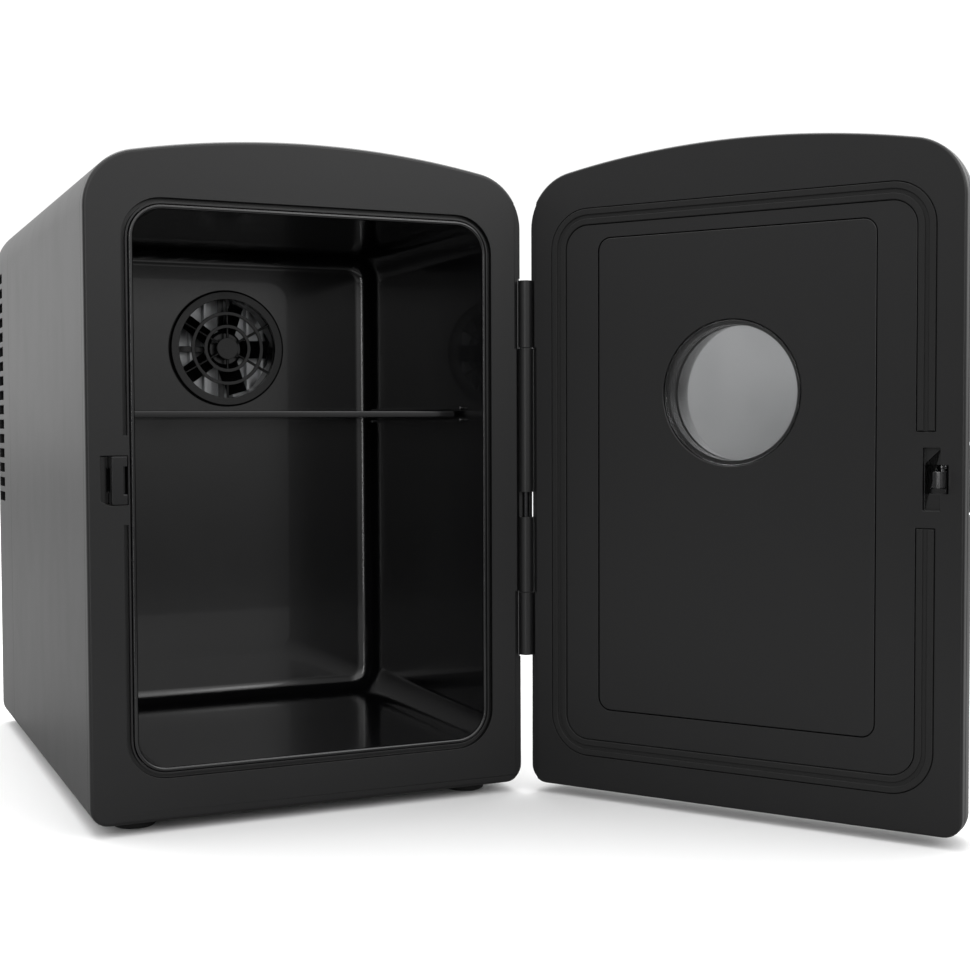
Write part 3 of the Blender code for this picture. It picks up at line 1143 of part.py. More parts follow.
# ---- door -------------------------------------------------------------------------------
def build_door_panel():
    """The door's inner face: seal groove, inset seat, window collar, latch lugs and recess."""
    edge = 1 * MM
    panel = layered("door_inner_panel", [
        (body_outline(edge), DOOR_FACE),
        (body_outline(0.3 * edge), DOOR_FACE - 0.3 * edge),
        (body_outline(), DOOR_FACE - edge),
        (body_outline(), PANEL_BACK)], BLACK_CASE)
    collar = WINDOW_RADIUS + 2 * MM
    deep = OUTER_FACE - PANE_THICK - GAP
    join(panel, rod("window_collar", (0, PANEL_BACK + 1 * MM, WINDOW_HEIGHT),
                    (0, deep, WINDOW_HEIGHT), collar, group=CUTTERS, segments=40))
    for index, (low, high) in enumerate(lug_spans()):
        join(panel, box(f"latch_lug_{index + 1}", (LATCH_X - 2.8 * MM, LATCH_Y - 2.6 * MM, low),
                        (LATCH_X + 3.4 * MM, PANEL_BACK + 0.5 * MM, high), group=CUTTERS))
    cut(panel, rod("lug_bore", (LATCH_X, LATCH_Y, LATCH_HEIGHT - 30 * MM),
                   (LATCH_X, LATCH_Y, LATCH_HEIGHT + 30 * MM), LATCH_PIN_RADIUS + GAP,
                   group=CUTTERS, segments=16))
    cut(panel, rod("window_opening", (0, 5 * MM, WINDOW_HEIGHT), (0, -30 * MM, WINDOW_HEIGHT),
                   WINDOW_RADIUS, group=CUTTERS, segments=40))
    seat = plate("gasket_seat", [gasket_outline(GAP), gasket_outline(-GASKET_WIDTH - GAP)],
                 DOOR_FACE - GASKET_SEAT, 5 * MM, group=CUTTERS)
    cut(seat, gasket_break("seat_break", GAP))
    cut(panel, seat)
    cut(panel, plate("inset_seat", [inset_outline(GAP)],
                     DOOR_FACE - INSET_THICK - GAP, 5 * MM, group=CUTTERS))
    half = RECESS_HEIGHT / 2
    right = KEEPER_RIGHT - 0.4 * MM
    cut(panel, box("keeper_recess", (KEEPER_EDGE - 0.4 * MM, DOOR_FACE - 2.2 * MM,
                                     LATCH_HEIGHT - half),
                   (right, 5 * MM, LATCH_HEIGHT + half), group=CUTTERS))
    cut(panel, box("hook_opening", (POCKET_LEFT + 0.6 * MM, PANEL_BACK - 0.3 * MM,
                                    LATCH_HEIGHT - 5.1 * MM),
                   (right - 0.2 * MM, 5 * MM, LATCH_HEIGHT + 5.1 * MM), group=CUTTERS))
    webs = [(BARREL_LOW, LOW_JOINT), (HIGH_JOINT, BARREL_HIGH)]
    cut(panel, plate("door_hinge_step", [step_outline(webs)], DOOR_FACE - HINGE_STEP_DEPTH,
                     5 * MM, group=CUTTERS))
    return panel


def inset_outline(outset=0.0):
    """The inset plate's edge, drawn out by outset."""
    reach = INSET_HALF + outset
    return rounded_rect(-reach, reach, INSET_LOW - outset, INSET_HIGH + outset,
                        INSET_RADIUS + outset)


def gasket_break(name, ease):
    """The stretch beside the latch where the seal stops."""
    return box(name, (-HALF, DOOR_FACE - 9 * MM, LATCH_HEIGHT - GASKET_BREAK_BELOW + ease),
               (0, 9 * MM, LATCH_HEIGHT + GASKET_BREAK_ABOVE - ease), group=CUTTERS)


def crowned(name, inset, front, material=None, group=None, lead=0.0):
    """A door-shaped solid whose sides curve in towards its front."""
    start = PANEL_BACK - GAP
    layers = []
    if lead:
        layers.append((body_outline(inset), start + lead))
    steps = 8
    for step in range(steps + 1):
        angle = math.pi / 2 * step / steps
        drawn_in = inset + DOOR_CROWN_INSET * (1 - math.cos(angle))
        layers.append((body_outline(drawn_in), start - (start - front) * math.sin(angle)))
    return layered(name, layers, material, group)


def build_door_shell():
    """The door's outer shell, hollow from behind, with the window and latch openings."""
    shell = crowned("door_outer_shell", 0, DOOR_FRONT, BLACK_CASE)
    cut(shell, crowned("door_room", DOOR_WALL, DOOR_FRONT + DOOR_WALL, group=CUTTERS, lead=5 * MM))
    cut(shell, rod("porthole_opening", (0, 0, WINDOW_HEIGHT), (0, -40 * MM, WINDOW_HEIGHT),
                   PORTHOLE_RADIUS - GAP, group=CUTTERS, segments=36))
    half = PAD_HEIGHT / 2 + 1.2 * MM
    pad_end = LATCH_Y - PAD_REACH - 1.5 * MM
    cut(shell, box("pad_opening", (-HALF - 5 * MM, pad_end, LATCH_HEIGHT - half),
                   (-HALF + 10 * MM, LATCH_Y + 1.4 * MM, LATCH_HEIGHT + half), group=CUTTERS))
    cut(shell, box("hinge_side_room", (AXIS_X - BARREL_RADIUS, AXIS_Y - BARREL_RADIUS, 0),
                   (AXIS_X + 9 * MM, 5 * MM, TOP_Z), group=CUTTERS))


def build_door_foam():
    """The door's insulation, clear of the window and of the latch."""
    foam = crowned("door_insulation", DOOR_WALL + GAP, DOOR_FRONT + DOOR_WALL + GAP, WHITE_FOAM)
    cut(foam, rod("porthole_room", (0, 0, WINDOW_HEIGHT), (0, -40 * MM, WINDOW_HEIGHT),
                  PORTHOLE_RADIUS + GAP, group=CUTTERS, segments=36))
    cut(foam, box("latch_room", (-HALF - 5 * MM, -40 * MM, LATCH_HEIGHT - 15 * MM),
                  (KEEPER_RIGHT + 1 * MM, 5 * MM, LATCH_HEIGHT + 15 * MM), group=CUTTERS))


def build_door_trim():
    """Seal, inset plate, double glazing and the flared porthole trim."""
    gasket = plate("door_gasket", [gasket_outline(), gasket_outline(-GASKET_WIDTH)],
                   DOOR_FACE - GASKET_SEAT + GAP, DOOR_FACE + GASKET_PROUD, DARK_RUBBER)
    cut(gasket, gasket_break("gasket_gap", 0))
    inset = plate("door_inset_plate", [inset_outline()], DOOR_FACE - INSET_THICK,
                  DOOR_FACE - 0.05 * MM, BLACK_CASE)
    cut(inset, rod("inset_opening", (0, 5 * MM, WINDOW_HEIGHT), (0, -30 * MM, WINDOW_HEIGHT),
                   WINDOW_RADIUS, group=CUTTERS, segments=40))
    middle = (0, WINDOW_HEIGHT)
    for name, face in (("inner_pane", PANE_FACE), ("outer_pane", OUTER_FACE)):
        rod(name, (0, face, WINDOW_HEIGHT), (0, face - PANE_THICK, WINDOW_HEIGHT),
            PANE_RADIUS, SMOKE_PANE, segments=40)
    turned("pane_spacer", [(PANE_RADIUS, SPACER_FACE), (PANE_RADIUS, SPACER_FACE - PANE_GAP),
                           (TRIM_BORE, SPACER_FACE - PANE_GAP), (TRIM_BORE, SPACER_FACE)],
           middle, BLACK_TRIM, segments=40)
    root = OUTER_FACE - PANE_THICK - 2 * GAP
    flange = TRIM_MOUTH + TRIM_FLANGE
    front = DOOR_FRONT - GAP
    lip = front - TRIM_THICK
    turned("porthole_trim", [(TRIM_BORE + TRIM_WALL, root), (TRIM_MOUTH, front),
                             (flange, front), (flange, front - 0.4 * TRIM_THICK),
                             (flange - 1.4 * MM, lip), (TRIM_MOUTH + 0.8 * MM, lip),
                             (TRIM_MOUTH - TRIM_WALL, front), (TRIM_BORE, root)],
           middle, BLACK_TRIM, segments=40)


# ---- assembly ---------------------------------------------------------------------------
build_shell()
front_bezel = build_bezel()
door_panel = build_door_panel()
build_hinge(front_bezel, door_panel)
build_liner()
shelf = build_shelf()
build_insulation()
build_feet()
build_guard()
inner_rotor, rear_rotor = build_cooling()
rear_chassis = build_chassis()
build_rear_cover()
build_cover_screws()
mode_switch = build_fittings()
standoffs, board_front = build_board()
for number, (standoff_x, standoff_z) in enumerate(standoffs):
    join(rear_chassis, rod(f"standoff_{number + 1}", (standoff_x, CHASSIS_BACK - 1 * MM, standoff_z),
                           (standoff_x, board_front - GAP, standoff_z), 2.5 * MM, group=CUTTERS,
                           segments=16))
build_brackets()
carry_handle = build_handle()
build_keeper()
lever = build_lever()
build_latch_pin()
build_door_shell()
build_door_foam()
build_door_trim()
settle()

door_pivot = pivot("door_pivot", (AXIS_X, AXIS_Y, BARREL_LOW))
lever_pivot = pivot("latch_lever_pivot", (LATCH_X, LATCH_Y, LATCH_HEIGHT))
shelf_slide = pivot("shelf_slide", (0, SHELF_SETBACK, SHELF_HEIGHT))
handle_pivot = pivot("carry_handle_pivot", (0, HANDLE_PLACE, HANDLE_Z))
switch_pivot = pivot("mode_switch_pivot", (SWITCH_X, SWITCH_Y, FITTING_HEIGHT))
inner_fan_pivot = pivot("inner_fan_pivot", (0, FAN_FRONT, STACK_HEIGHT))
rear_fan_pivot = pivot("rear_fan_pivot", (0, REAR_FAN_FRONT, STACK_HEIGHT))

DOOR_PIECES = ("door_inner_panel", "door_outer_shell", "door_insulation", "door_gasket",
               "door_inset_plate", "inner_pane", "pane_spacer", "outer_pane", "porthole_trim",
               "latch_pin", "latch_spring")
carry(door_pivot, *[bpy.data.objects[name] for name in DOOR_PIECES], lever_pivot)
carry(lever_pivot, lever)
carry(shelf_slide, shelf)
carry(handle_pivot, carry_handle)
carry(switch_pivot, mode_switch)
carry(inner_fan_pivot, inner_rotor)
carry(rear_fan_pivot, rear_rotor)
door_pivot.rotation_euler.z = math.radians(DOOR_OPEN_ANGLE)

# Everything is moved together so that the origin is the middle of the footprint.
bpy.context.view_layer.update()
graph = bpy.context.evaluated_depsgraph_get()
corners = []
for piece in PARTS.objects:
    if piece.type == "MESH":
        solid = piece.evaluated_get(graph)
        corners += [solid.matrix_world @ vertex.co for vertex in solid.data.vertices]
middle_x = (min(c.x for c in corners) + max(c.x for c in corners)) / 2
middle_y = (min(c.y for c in corners) + max(c.y for c in corners)) / 2
footprint = bpy.data.objects.new("footprint_origin", None)
PARTS.objects.link(footprint)
for piece in list(PARTS.objects):
    if piece.parent is None and piece is not footprint:
        piece.parent = footprint
footprint.location = (-middle_x, -middle_y, 0)
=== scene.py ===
"""Black tabletop mini fridge, its door standing open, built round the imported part."""
import json
import math

import bmesh
import bpy
from mathutils import Matrix, Vector


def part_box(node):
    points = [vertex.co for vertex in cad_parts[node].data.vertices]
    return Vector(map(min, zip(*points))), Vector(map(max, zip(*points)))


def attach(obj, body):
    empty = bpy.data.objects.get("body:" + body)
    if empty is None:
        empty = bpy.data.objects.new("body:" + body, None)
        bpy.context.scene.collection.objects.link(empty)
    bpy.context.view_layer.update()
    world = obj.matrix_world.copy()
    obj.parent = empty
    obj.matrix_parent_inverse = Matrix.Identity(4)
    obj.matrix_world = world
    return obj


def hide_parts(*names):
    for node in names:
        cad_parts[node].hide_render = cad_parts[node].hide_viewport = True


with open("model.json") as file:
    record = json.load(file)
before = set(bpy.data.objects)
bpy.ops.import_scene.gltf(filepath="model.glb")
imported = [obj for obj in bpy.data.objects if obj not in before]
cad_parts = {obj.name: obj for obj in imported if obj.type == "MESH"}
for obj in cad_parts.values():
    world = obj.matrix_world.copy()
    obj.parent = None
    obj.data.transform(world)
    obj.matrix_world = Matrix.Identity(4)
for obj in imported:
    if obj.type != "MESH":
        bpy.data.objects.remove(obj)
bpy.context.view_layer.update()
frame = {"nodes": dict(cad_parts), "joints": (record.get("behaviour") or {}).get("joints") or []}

# ---- Cabinet wrap -----------------------------------------------------------------------
# The sleeve round the cabinet is one black ABS moulding with an arched top and a fine
# spark-eroded grain.  It slides over the face frame's spigot in front and stops at the
# rear cover, with a hairline joint at both ends.
MM = 0.001
HAIRLINE = 0.12 * MM
wrap_low, wrap_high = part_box("cabinet_shell")
middle_x = (wrap_low.x + wrap_high.x) / 2
half_width = (wrap_high.x - wrap_low.x) / 2
base_z = wrap_low.z
top_z = wrap_high.z
face_thick = 5 * MM
face_y = wrap_low.y - face_thick - 0.3 * MM
wrap_wall = 2.4 * MM
arch_curve = 375 * MM
crease = math.radians(35)


def only(piece):
    """Make a piece the only selected one, and the active one."""
    bpy.ops.object.select_all(action="DESELECT")
    piece.select_set(True)
    bpy.context.view_layer.objects.active = piece


def arc_points(across, up, radius, start, end, steps):
    """Points along an arc, angles in degrees, both ends included."""
    points = []
    for step in range(steps + 1):
        angle = math.radians(start + (end - start) * step / steps)
        points.append((across + radius * math.cos(angle), up + radius * math.sin(angle)))
    return points


def arched(inset=0.0):
    """The cabinet's front outline, drawn in by inset: flat base, round shoulders, arched top."""
    half = half_width - inset
    arch_radius = arch_curve - inset
    shoulder = max(22 * MM - inset, 3 * MM)
    corner = max(7 * MM - inset, 1.5 * MM)
    arch_z = top_z - arch_curve
    shoulder_x = half - shoulder
    shoulder_z = arch_z + math.sqrt((arch_radius - shoulder) ** 2 - shoulder_x ** 2)
    meet = math.degrees(math.atan2(shoulder_z - arch_z, shoulder_x))
    low = base_z + inset
    points = arc_points(half - corner, low + corner, corner, -90, 0, 8)
    points += arc_points(shoulder_x, shoulder_z, shoulder, 0, meet, 16)
    points += arc_points(0, arch_z, arch_radius, meet, 180 - meet, 26)[1:-1]
    points += arc_points(-shoulder_x, shoulder_z, shoulder, 180 - meet, 180, 16)
    points += arc_points(corner - half, low + corner, corner, 180, 270, 8)
    return points


def drawn_plate(name, loops, front, back):
    """Draw closed outlines as a flat curve, give it a thickness, and stand it up facing -Y."""
    drawing = bpy.data.curves.new(name, "CURVE")
    drawing.dimensions = "2D"
    drawing.fill_mode = "BOTH"
    drawing.extrude = abs(back - front) / 2
    for loop in loops:
        line = drawing.splines.new("POLY")
        line.points.add(len(loop) - 1)
        for point, (across, up) in zip(line.points, loop):
            point.co = (across, up, 0, 1)
        line.use_cyclic_u = True
    piece = bpy.data.objects.new(name, drawing)
    bpy.context.scene.collection.objects.link(piece)
    only(piece)
    bpy.ops.object.convert(target="MESH")
    bpy.ops.object.mode_set(mode="EDIT")
    bpy.ops.mesh.select_all(action="SELECT")
    bpy.ops.mesh.remove_doubles(threshold=0.001 * MM)
    bpy.ops.mesh.normals_make_consistent(inside=False)
    bpy.ops.mesh.dissolve_limited(angle_limit=math.radians(0.05))
    bpy.ops.object.mode_set(mode="OBJECT")
    piece.rotation_euler.x = math.pi / 2
    piece.location = (middle_x, (front + back) / 2, 0)
    bpy.ops.object.transform_apply()
    return piece


def round_edges(piece, test, width, steps):
    """Round the sharp edges whose two ends both pass the test."""
    only(piece)
    bpy.ops.object.mode_set(mode="EDIT")
    bpy.ops.mesh.select_mode(type="EDGE")
    bpy.ops.mesh.select_all(action="DESELECT")
    shape = bmesh.from_edit_mesh(piece.data)
    for edge in shape.edges:
        if len(edge.link_faces) == 2 and edge.calc_face_angle() > crease:
            edge.select = all(test(corner.co) for corner in edge.verts)
    bmesh.update_edit_mesh(piece.data)
    bpy.ops.mesh.bevel(offset=width, segments=steps, affect="EDGES")
    bpy.ops.object.mode_set(mode="OBJECT")


def carve(piece, *tools, operation="DIFFERENCE"):
    """Cut tools out of a piece, or join them on, and put the tools away."""
    for tool in tools:
        step = piece.modifiers.new("carve", "BOOLEAN")
        step.operation = operation
        step.object = tool
        only(piece)
        bpy.ops.object.modifier_apply(modifier=step.name)
        bpy.data.objects.remove(tool, do_unlink=True)


def even_shading(piece):
    """Shade the curves smooth and keep the flats flat."""
    only(piece)
    bpy.ops.object.shade_smooth_by_angle(angle=crease)
    flow = piece.modifiers.new("flow", "WEIGHTED_NORMAL")
    flow.keep_sharp = True
    bpy.ops.object.modifier_apply(modifier=flow.name)


def soften(piece, width, steps=2):
    """Give the hard edges the small radius that a mould leaves, and shade the rest smooth."""
    only(piece)
    bpy.ops.object.mode_set(mode="EDIT")
    bpy.ops.mesh.select_all(action="SELECT")
    bpy.ops.mesh.remove_doubles(threshold=0.002 * MM)
    bpy.ops.mesh.dissolve_limited(angle_limit=math.radians(0.05))
    bpy.ops.object.mode_set(mode="OBJECT")
    if width:
        edge = piece.modifiers.new("edge", "BEVEL")
        edge.width = width
        edge.segments = steps
        edge.angle_limit = crease
        edge.use_clamp_overlap = False
        bpy.ops.object.modifier_apply(modifier=edge.name)
    even_shading(piece)


def put(tree, kind, inputs=None, **settings):
    """Add a node, set its options, and feed its inputs with values or other nodes' sockets."""
    new = tree.nodes.new(kind)
    for key, value in settings.items():
        setattr(new, key, value)
    for key, value in (inputs or {}).items():
        if isinstance(value, bpy.types.NodeSocket):
            tree.links.new(value, new.inputs[key])
        else:
            new.inputs[key].default_value = value
    return new


def new_group(name, inputs, outputs):
    """An empty node group with named sockets; returns it with its two end nodes."""
    group = bpy.data.node_groups.new(name, "ShaderNodeTree")
    for label, kind, value in inputs:
        socket = group.interface.new_socket(label, in_out="INPUT", socket_type=kind)
        socket.default_value = value
    for label, kind in outputs:
        group.interface.new_socket(label, in_out="OUTPUT", socket_type=kind)
    return group, group.nodes.new("NodeGroupInput"), group.nodes.new("NodeGroupOutput")


def make_grain():
    """Spark-eroded grain: a pebbled height, and a slight change of tone and gloss with it."""
    group, given, result = new_group(
        "moulded_grain",
        [("Colour", "NodeSocketColor", (0.02, 0.02, 0.02, 1)),
         ("Roughness", "NodeSocketFloat", 0.4),
         ("Grains per metre", "NodeSocketFloat", 1800.0), ("Handling", "NodeSocketFloat", 0.5)],
        [("Colour", "NodeSocketColor"), ("Roughness", "NodeSocketFloat"),
         ("Height", "NodeSocketFloat")])
    place = put(group, "ShaderNodeTexCoord").outputs["Object"]
    pebble = put(group, "ShaderNodeTexVoronoi", {"Vector": place, "Scale": given.outputs[2]},
                 feature="SMOOTH_F1")
    fine = put(group, "ShaderNodeTexNoise", {"Vector": place, "Scale": 5200.0, "Detail": 2.0})
    smudge = put(group, "ShaderNodeTexNoise", {"Vector": place, "Scale": 26.0, "Detail": 5.0,
                                               "Roughness": 0.62, "Distortion": 0.8})
    streak_place = put(group, "ShaderNodeMapping", {"Vector": place, "Scale": (1.0, 1.0, 0.22)})
    streak = put(group, "ShaderNodeTexNoise", {"Vector": streak_place.outputs[0], "Scale": 70.0,
                                               "Detail": 3.0})
    marks = put(group, "ShaderNodeMath", {0: smudge.outputs[0], 1: streak.outputs[0]},
                operation="MULTIPLY")
    spread = put(group, "ShaderNodeMapRange", {"Value": marks.outputs[0], "From Min": 0.16,
                                               "From Max": 0.38, "To Min": -0.05, "To Max": 0.05})
    amount = put(group, "ShaderNodeMath", {0: spread.outputs[0], 1: given.outputs[3]},
                 operation="MULTIPLY")
    gloss = put(group, "ShaderNodeMath", {0: given.outputs[1], 1: amount.outputs[0]},
                operation="ADD", use_clamp=True)
    tone = put(group, "ShaderNodeMapRange", {"Value": pebble.outputs[0], "To Min": 0.86,
                                             "To Max": 1.12})
    shade = put(group, "ShaderNodeVectorMath", {0: given.outputs[0], "Scale": tone.outputs[0]},
                operation="SCALE")
    height = put(group, "ShaderNodeMath", {0: pebble.outputs[0], 1: fine.outputs[0]},
                 operation="ADD")
    for socket, value in zip(result.inputs, (shade.outputs[0], gloss.outputs[0],
                                             height.outputs[0])):
        group.links.new(value, socket)
    return group


MOULDED_GRAIN = make_grain()


def new_finish(name, metallic=0.0, specular=0.5, coat=0.0, coat_roughness=0.1):
    """A material with its Principled shader, ready for the patterns that feed it."""
    material = bpy.data.materials.new(name)
    material.use_nodes = True
    shader = material.node_tree.nodes["Principled BSDF"]
    shader.inputs["Metallic"].default_value = metallic
    shader.inputs["Specular IOR Level"].default_value = specular
    shader.inputs["Coat Weight"].default_value = coat
    shader.inputs["Coat Roughness"].default_value = coat_roughness
    return material, material.node_tree, shader


def feed(tree, shader, colour=None, gloss=None, relief=None):
    """Link patterns to the shader's colour, roughness and normal."""
    for label, pattern in (("Base Color", colour), ("Roughness", gloss), ("Normal", relief)):
        if pattern is not None:
            tree.links.new(pattern, shader.inputs[label])


def moulded_plastic(name, colour, roughness, grains, depth, handling=0.5, **finish):
    """Moulded plastic of one colour, with grains of a size and depth over it."""
    material, tree, shader = new_finish(name, **finish)
    grain = put(tree, "ShaderNodeGroup", node_tree=MOULDED_GRAIN)
    for key, value in zip((0, 1, 2, 3), ((*colour, 1), roughness, grains, handling)):
        grain.inputs[key].default_value = value
    bump = put(tree, "ShaderNodeBump", {"Height": grain.outputs[2], "Distance": depth,
                                        "Strength": 1.0})
    feed(tree, shader, grain.outputs[0], grain.outputs[1], bump.outputs[0])
    return material


BLACK_CASE = moulded_plastic("black case ABS", (0.0062, 0.0062, 0.0065), 0.36, 1700.0, 0.005 * MM,
                             handling=0.2)


def dress(piece, material, slot, body, *nodes):
    """Give a finished piece its material, hang it on the body it moves with, and hide the parts it
    stands for.
    """
    piece.data.materials.clear()
    piece.data.materials.append(material)
    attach(piece, body)
    if nodes:
        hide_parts(*nodes)


wrap = drawn_plate("cabinet_wrap", [arched(), arched(wrap_wall)], face_y + face_thick + HAIRLINE,
                   wrap_high.y + 0.3 * MM - HAIRLINE)
soften(wrap, 0.15 * MM)
dress(wrap, BLACK_CASE, "black_case", "cabinet", "cabinet_shell")

# ---- Face frame -------------------------------------------------------------------------
# The moulded frame round the opening has a groove beside the bead, the pocket for
# the latch and the long middle barrel of the hinge.  Its front edge has a 1.5 mm radius and
# the strip beside the hinge is set back so that the door's heel can pass.
cavity_low, cavity_high = Vector((-70.3 * MM, 0, 24.4 * MM)), Vector((70.3 * MM, 0, 232 * MM))
hinge = next(joint for joint in frame["joints"] if joint["name"] == "door_hinge")
hinge_point = Vector(hinge["pos_m"])
hinge_x = hinge_point.x - middle_x
hinge_set_back = 1.3 * MM
face_edge = half_width - 3.05 * MM
barrel = (57 * MM, 83 * MM, 183.5 * MM, 211 * MM)
knuckle_radius, knuckle_room, pin_hole, knuckle_gap = 3 * MM, 3.4 * MM, 1.5 * MM, 0.08 * MM
pin_window = (114.05 * MM, 124.35 * MM)
latch_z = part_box("latch_lever")[0].z + 12 * MM
pocket_left, plate_left, pocket_right = -83 * MM, -79.1 * MM, -73 * MM
pocket_half = 9.15 * MM


def rounded(left, right, low, high, radius, steps=10):
    """A rectangle with round corners."""
    points = arc_points(right - radius, low + radius, radius, -90, 0, steps)
    points += arc_points(right - radius, high - radius, radius, 0, 90, steps)
    points += arc_points(left + radius, high - radius, radius, 90, 180, steps)
    return points + arc_points(left + radius, low + radius, radius, 180, 270, steps)


def opening(outset=0.0):
    """The cavity's outline, drawn out by outset."""
    return rounded(cavity_low.x - outset, cavity_high.x + outset, cavity_low.z - outset,
                   cavity_high.z + outset, 11 * MM + outset)


def block(low, high):
    """A block between two corners, x counted from the cabinet's middle."""
    low, high = Vector(low), Vector(high)
    bpy.ops.object.select_all(action="DESELECT")
    bpy.ops.mesh.primitive_cube_add(size=1, location=(low + high) / 2 + Vector((middle_x, 0, 0)))
    bpy.context.object.scale = high - low
    bpy.ops.object.transform_apply()
    return bpy.context.object


def post(start, end, radius, sides=48):
    """A round bar from start to end, x counted from the cabinet's middle."""
    start, end = Vector(start), Vector(end)
    run = end - start
    bpy.ops.object.select_all(action="DESELECT")
    bpy.ops.mesh.primitive_cylinder_add(vertices=sides, radius=radius, depth=run.length,
                                        location=(start + end) / 2 + Vector((middle_x, 0, 0)),
                                        rotation=run.to_track_quat("Z", "Y").to_euler())
    bpy.ops.object.transform_apply()
    return bpy.context.object


def hinge_post(low, high, radius):
    """A round bar on the hinge's axis between two heights."""
    return post((hinge_x, hinge_point.y, low), (hinge_x, hinge_point.y, high), radius)


def join_on(piece, *others):
    """Make other pieces part of a piece, and even its shading."""
    only(piece)
    for other in others:
        other.select_set(True)
    bpy.ops.object.join()
    even_shading(piece)


def set_back_strip(webs):
    """The outline of the strip beside the hinge, with a notch where a web backs a knuckle."""
    points = [(face_edge, -9 * MM), (half_width + 9 * MM, -9 * MM),
              (half_width + 9 * MM, top_z + 9 * MM), (face_edge, top_z + 9 * MM)]
    for low, high in reversed(webs):
        step = face_edge + 0.9 * MM
        points += [(face_edge, high), (step, high), (step, low), (face_edge, low)]
    return points


face = drawn_plate("face_frame", [arched(), opening(2 * MM)], face_y, face_y + face_thick)
round_edges(face, lambda p: p.y < face_y + 0.1 * MM and (
    abs(p.x - middle_x) > cavity_high.x + 6 * MM or p.z > cavity_high.z + 6 * MM
    or p.z < cavity_low.z - 6 * MM), 1.5 * MM, 6)
groove = drawn_plate("groove", [opening(4.3 * MM), opening(2.8 * MM)], face_y - 5 * MM,
                     face_y + 2.2 * MM)
carve(groove, block((-half_width, face_y - 9 * MM, latch_z - 16.5 * MM),
                    (0, face_y + 9 * MM, latch_z + 16.5 * MM)))
corner_cut = 3.1 * MM
pocket = [(pocket_right, latch_z - pocket_half), (pocket_right, latch_z + pocket_half),
          (pocket_left, latch_z + pocket_half),
          (pocket_left, latch_z - pocket_half + corner_cut / 2),
          (pocket_left + corner_cut, latch_z - pocket_half)]
carve(face, groove, drawn_plate("pocket", [pocket], face_y - 5 * MM, face_y + 12 * MM),
      drawn_plate("strip", [set_back_strip([(barrel[1] + 0.3 * MM, barrel[2] - 0.3 * MM)])],
                  face_y - 5 * MM, face_y + hinge_set_back))
soften(face, 0.18 * MM)
carve(face, hinge_post(barrel[0] - 1 * MM, barrel[1] + 0.3 * MM, knuckle_room),
      hinge_post(barrel[2] - 0.3 * MM, barrel[3] + 1 * MM, knuckle_room))
knuckle = hinge_post(barrel[1] + knuckle_gap, barrel[2] - knuckle_gap, knuckle_radius)
carve(knuckle, hinge_post(0, top_z, pin_hole),
      block((hinge_x - 4 * MM, hinge_point.y - 4 * MM, pin_window[0]),
            (hinge_x + 4 * MM, hinge_point.y + 0.05 * MM, pin_window[1])))
soften(knuckle, 0.12 * MM)
join_on(face, knuckle)
dress(face, BLACK_CASE, "black_case", "cabinet", "front_bezel")

# ---- Cavity liner -----------------------------------------------------------------------
# The glossy black tub is vacuum formed, so its corners and its heel are round.  A narrow
# bead stands proud round the opening, and two pairs of rails hold the shelf.
GLOSS_LINER = moulded_plastic("gloss liner", (0.0045, 0.0045, 0.005), 0.10, 90.0, 0.02 * MM,
                              handling=0.9, coat=0.4, coat_roughness=0.04)
liner_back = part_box("cavity_liner")[1].y
cavity_back = liner_back - 1.5 * MM
stack_z = (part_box("hot_sink")[0].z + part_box("hot_sink")[1].z) / 2
shelf_low, shelf_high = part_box("shelf")
shelf_z = (shelf_low.z + shelf_high.z) / 2


def lofted(name, sections):
    """A skin through matching outlines, closed at its last; each section is (outline, y)."""
    shape = bmesh.new()
    rings = [[shape.verts.new((x + middle_x, y, z)) for x, z in outline]
             for outline, y in sections]
    for near, far in zip(rings, rings[1:]):
        for index in range(len(near)):
            after = (index + 1) % len(near)
            shape.faces.new((near[index], near[after], far[after], far[index]))
    shape.faces.new(rings[-1])
    mesh = bpy.data.meshes.new(name)
    shape.to_mesh(mesh)
    shape.free()
    piece = bpy.data.objects.new(name, mesh)
    bpy.context.scene.collection.objects.link(piece)
    return piece


def mend(piece, merge=0.0):
    """Merge a skin's doubled points and turn its faces outwards."""
    only(piece)
    bpy.ops.object.mode_set(mode="EDIT")
    bpy.ops.mesh.select_all(action="SELECT")
    if merge:
        bpy.ops.mesh.remove_doubles(threshold=merge)
    bpy.ops.mesh.normals_make_consistent(inside=False)
    bpy.ops.object.mode_set(mode="OBJECT")


def thicken(piece, thickness):
    """Give an open skin its wall, on the side away from its faces."""
    wall = piece.modifiers.new("wall", "SOLIDIFY")
    wall.thickness = thickness
    wall.offset = -1
    only(piece)
    bpy.ops.object.modifier_apply(modifier=wall.name)
    mend(piece)


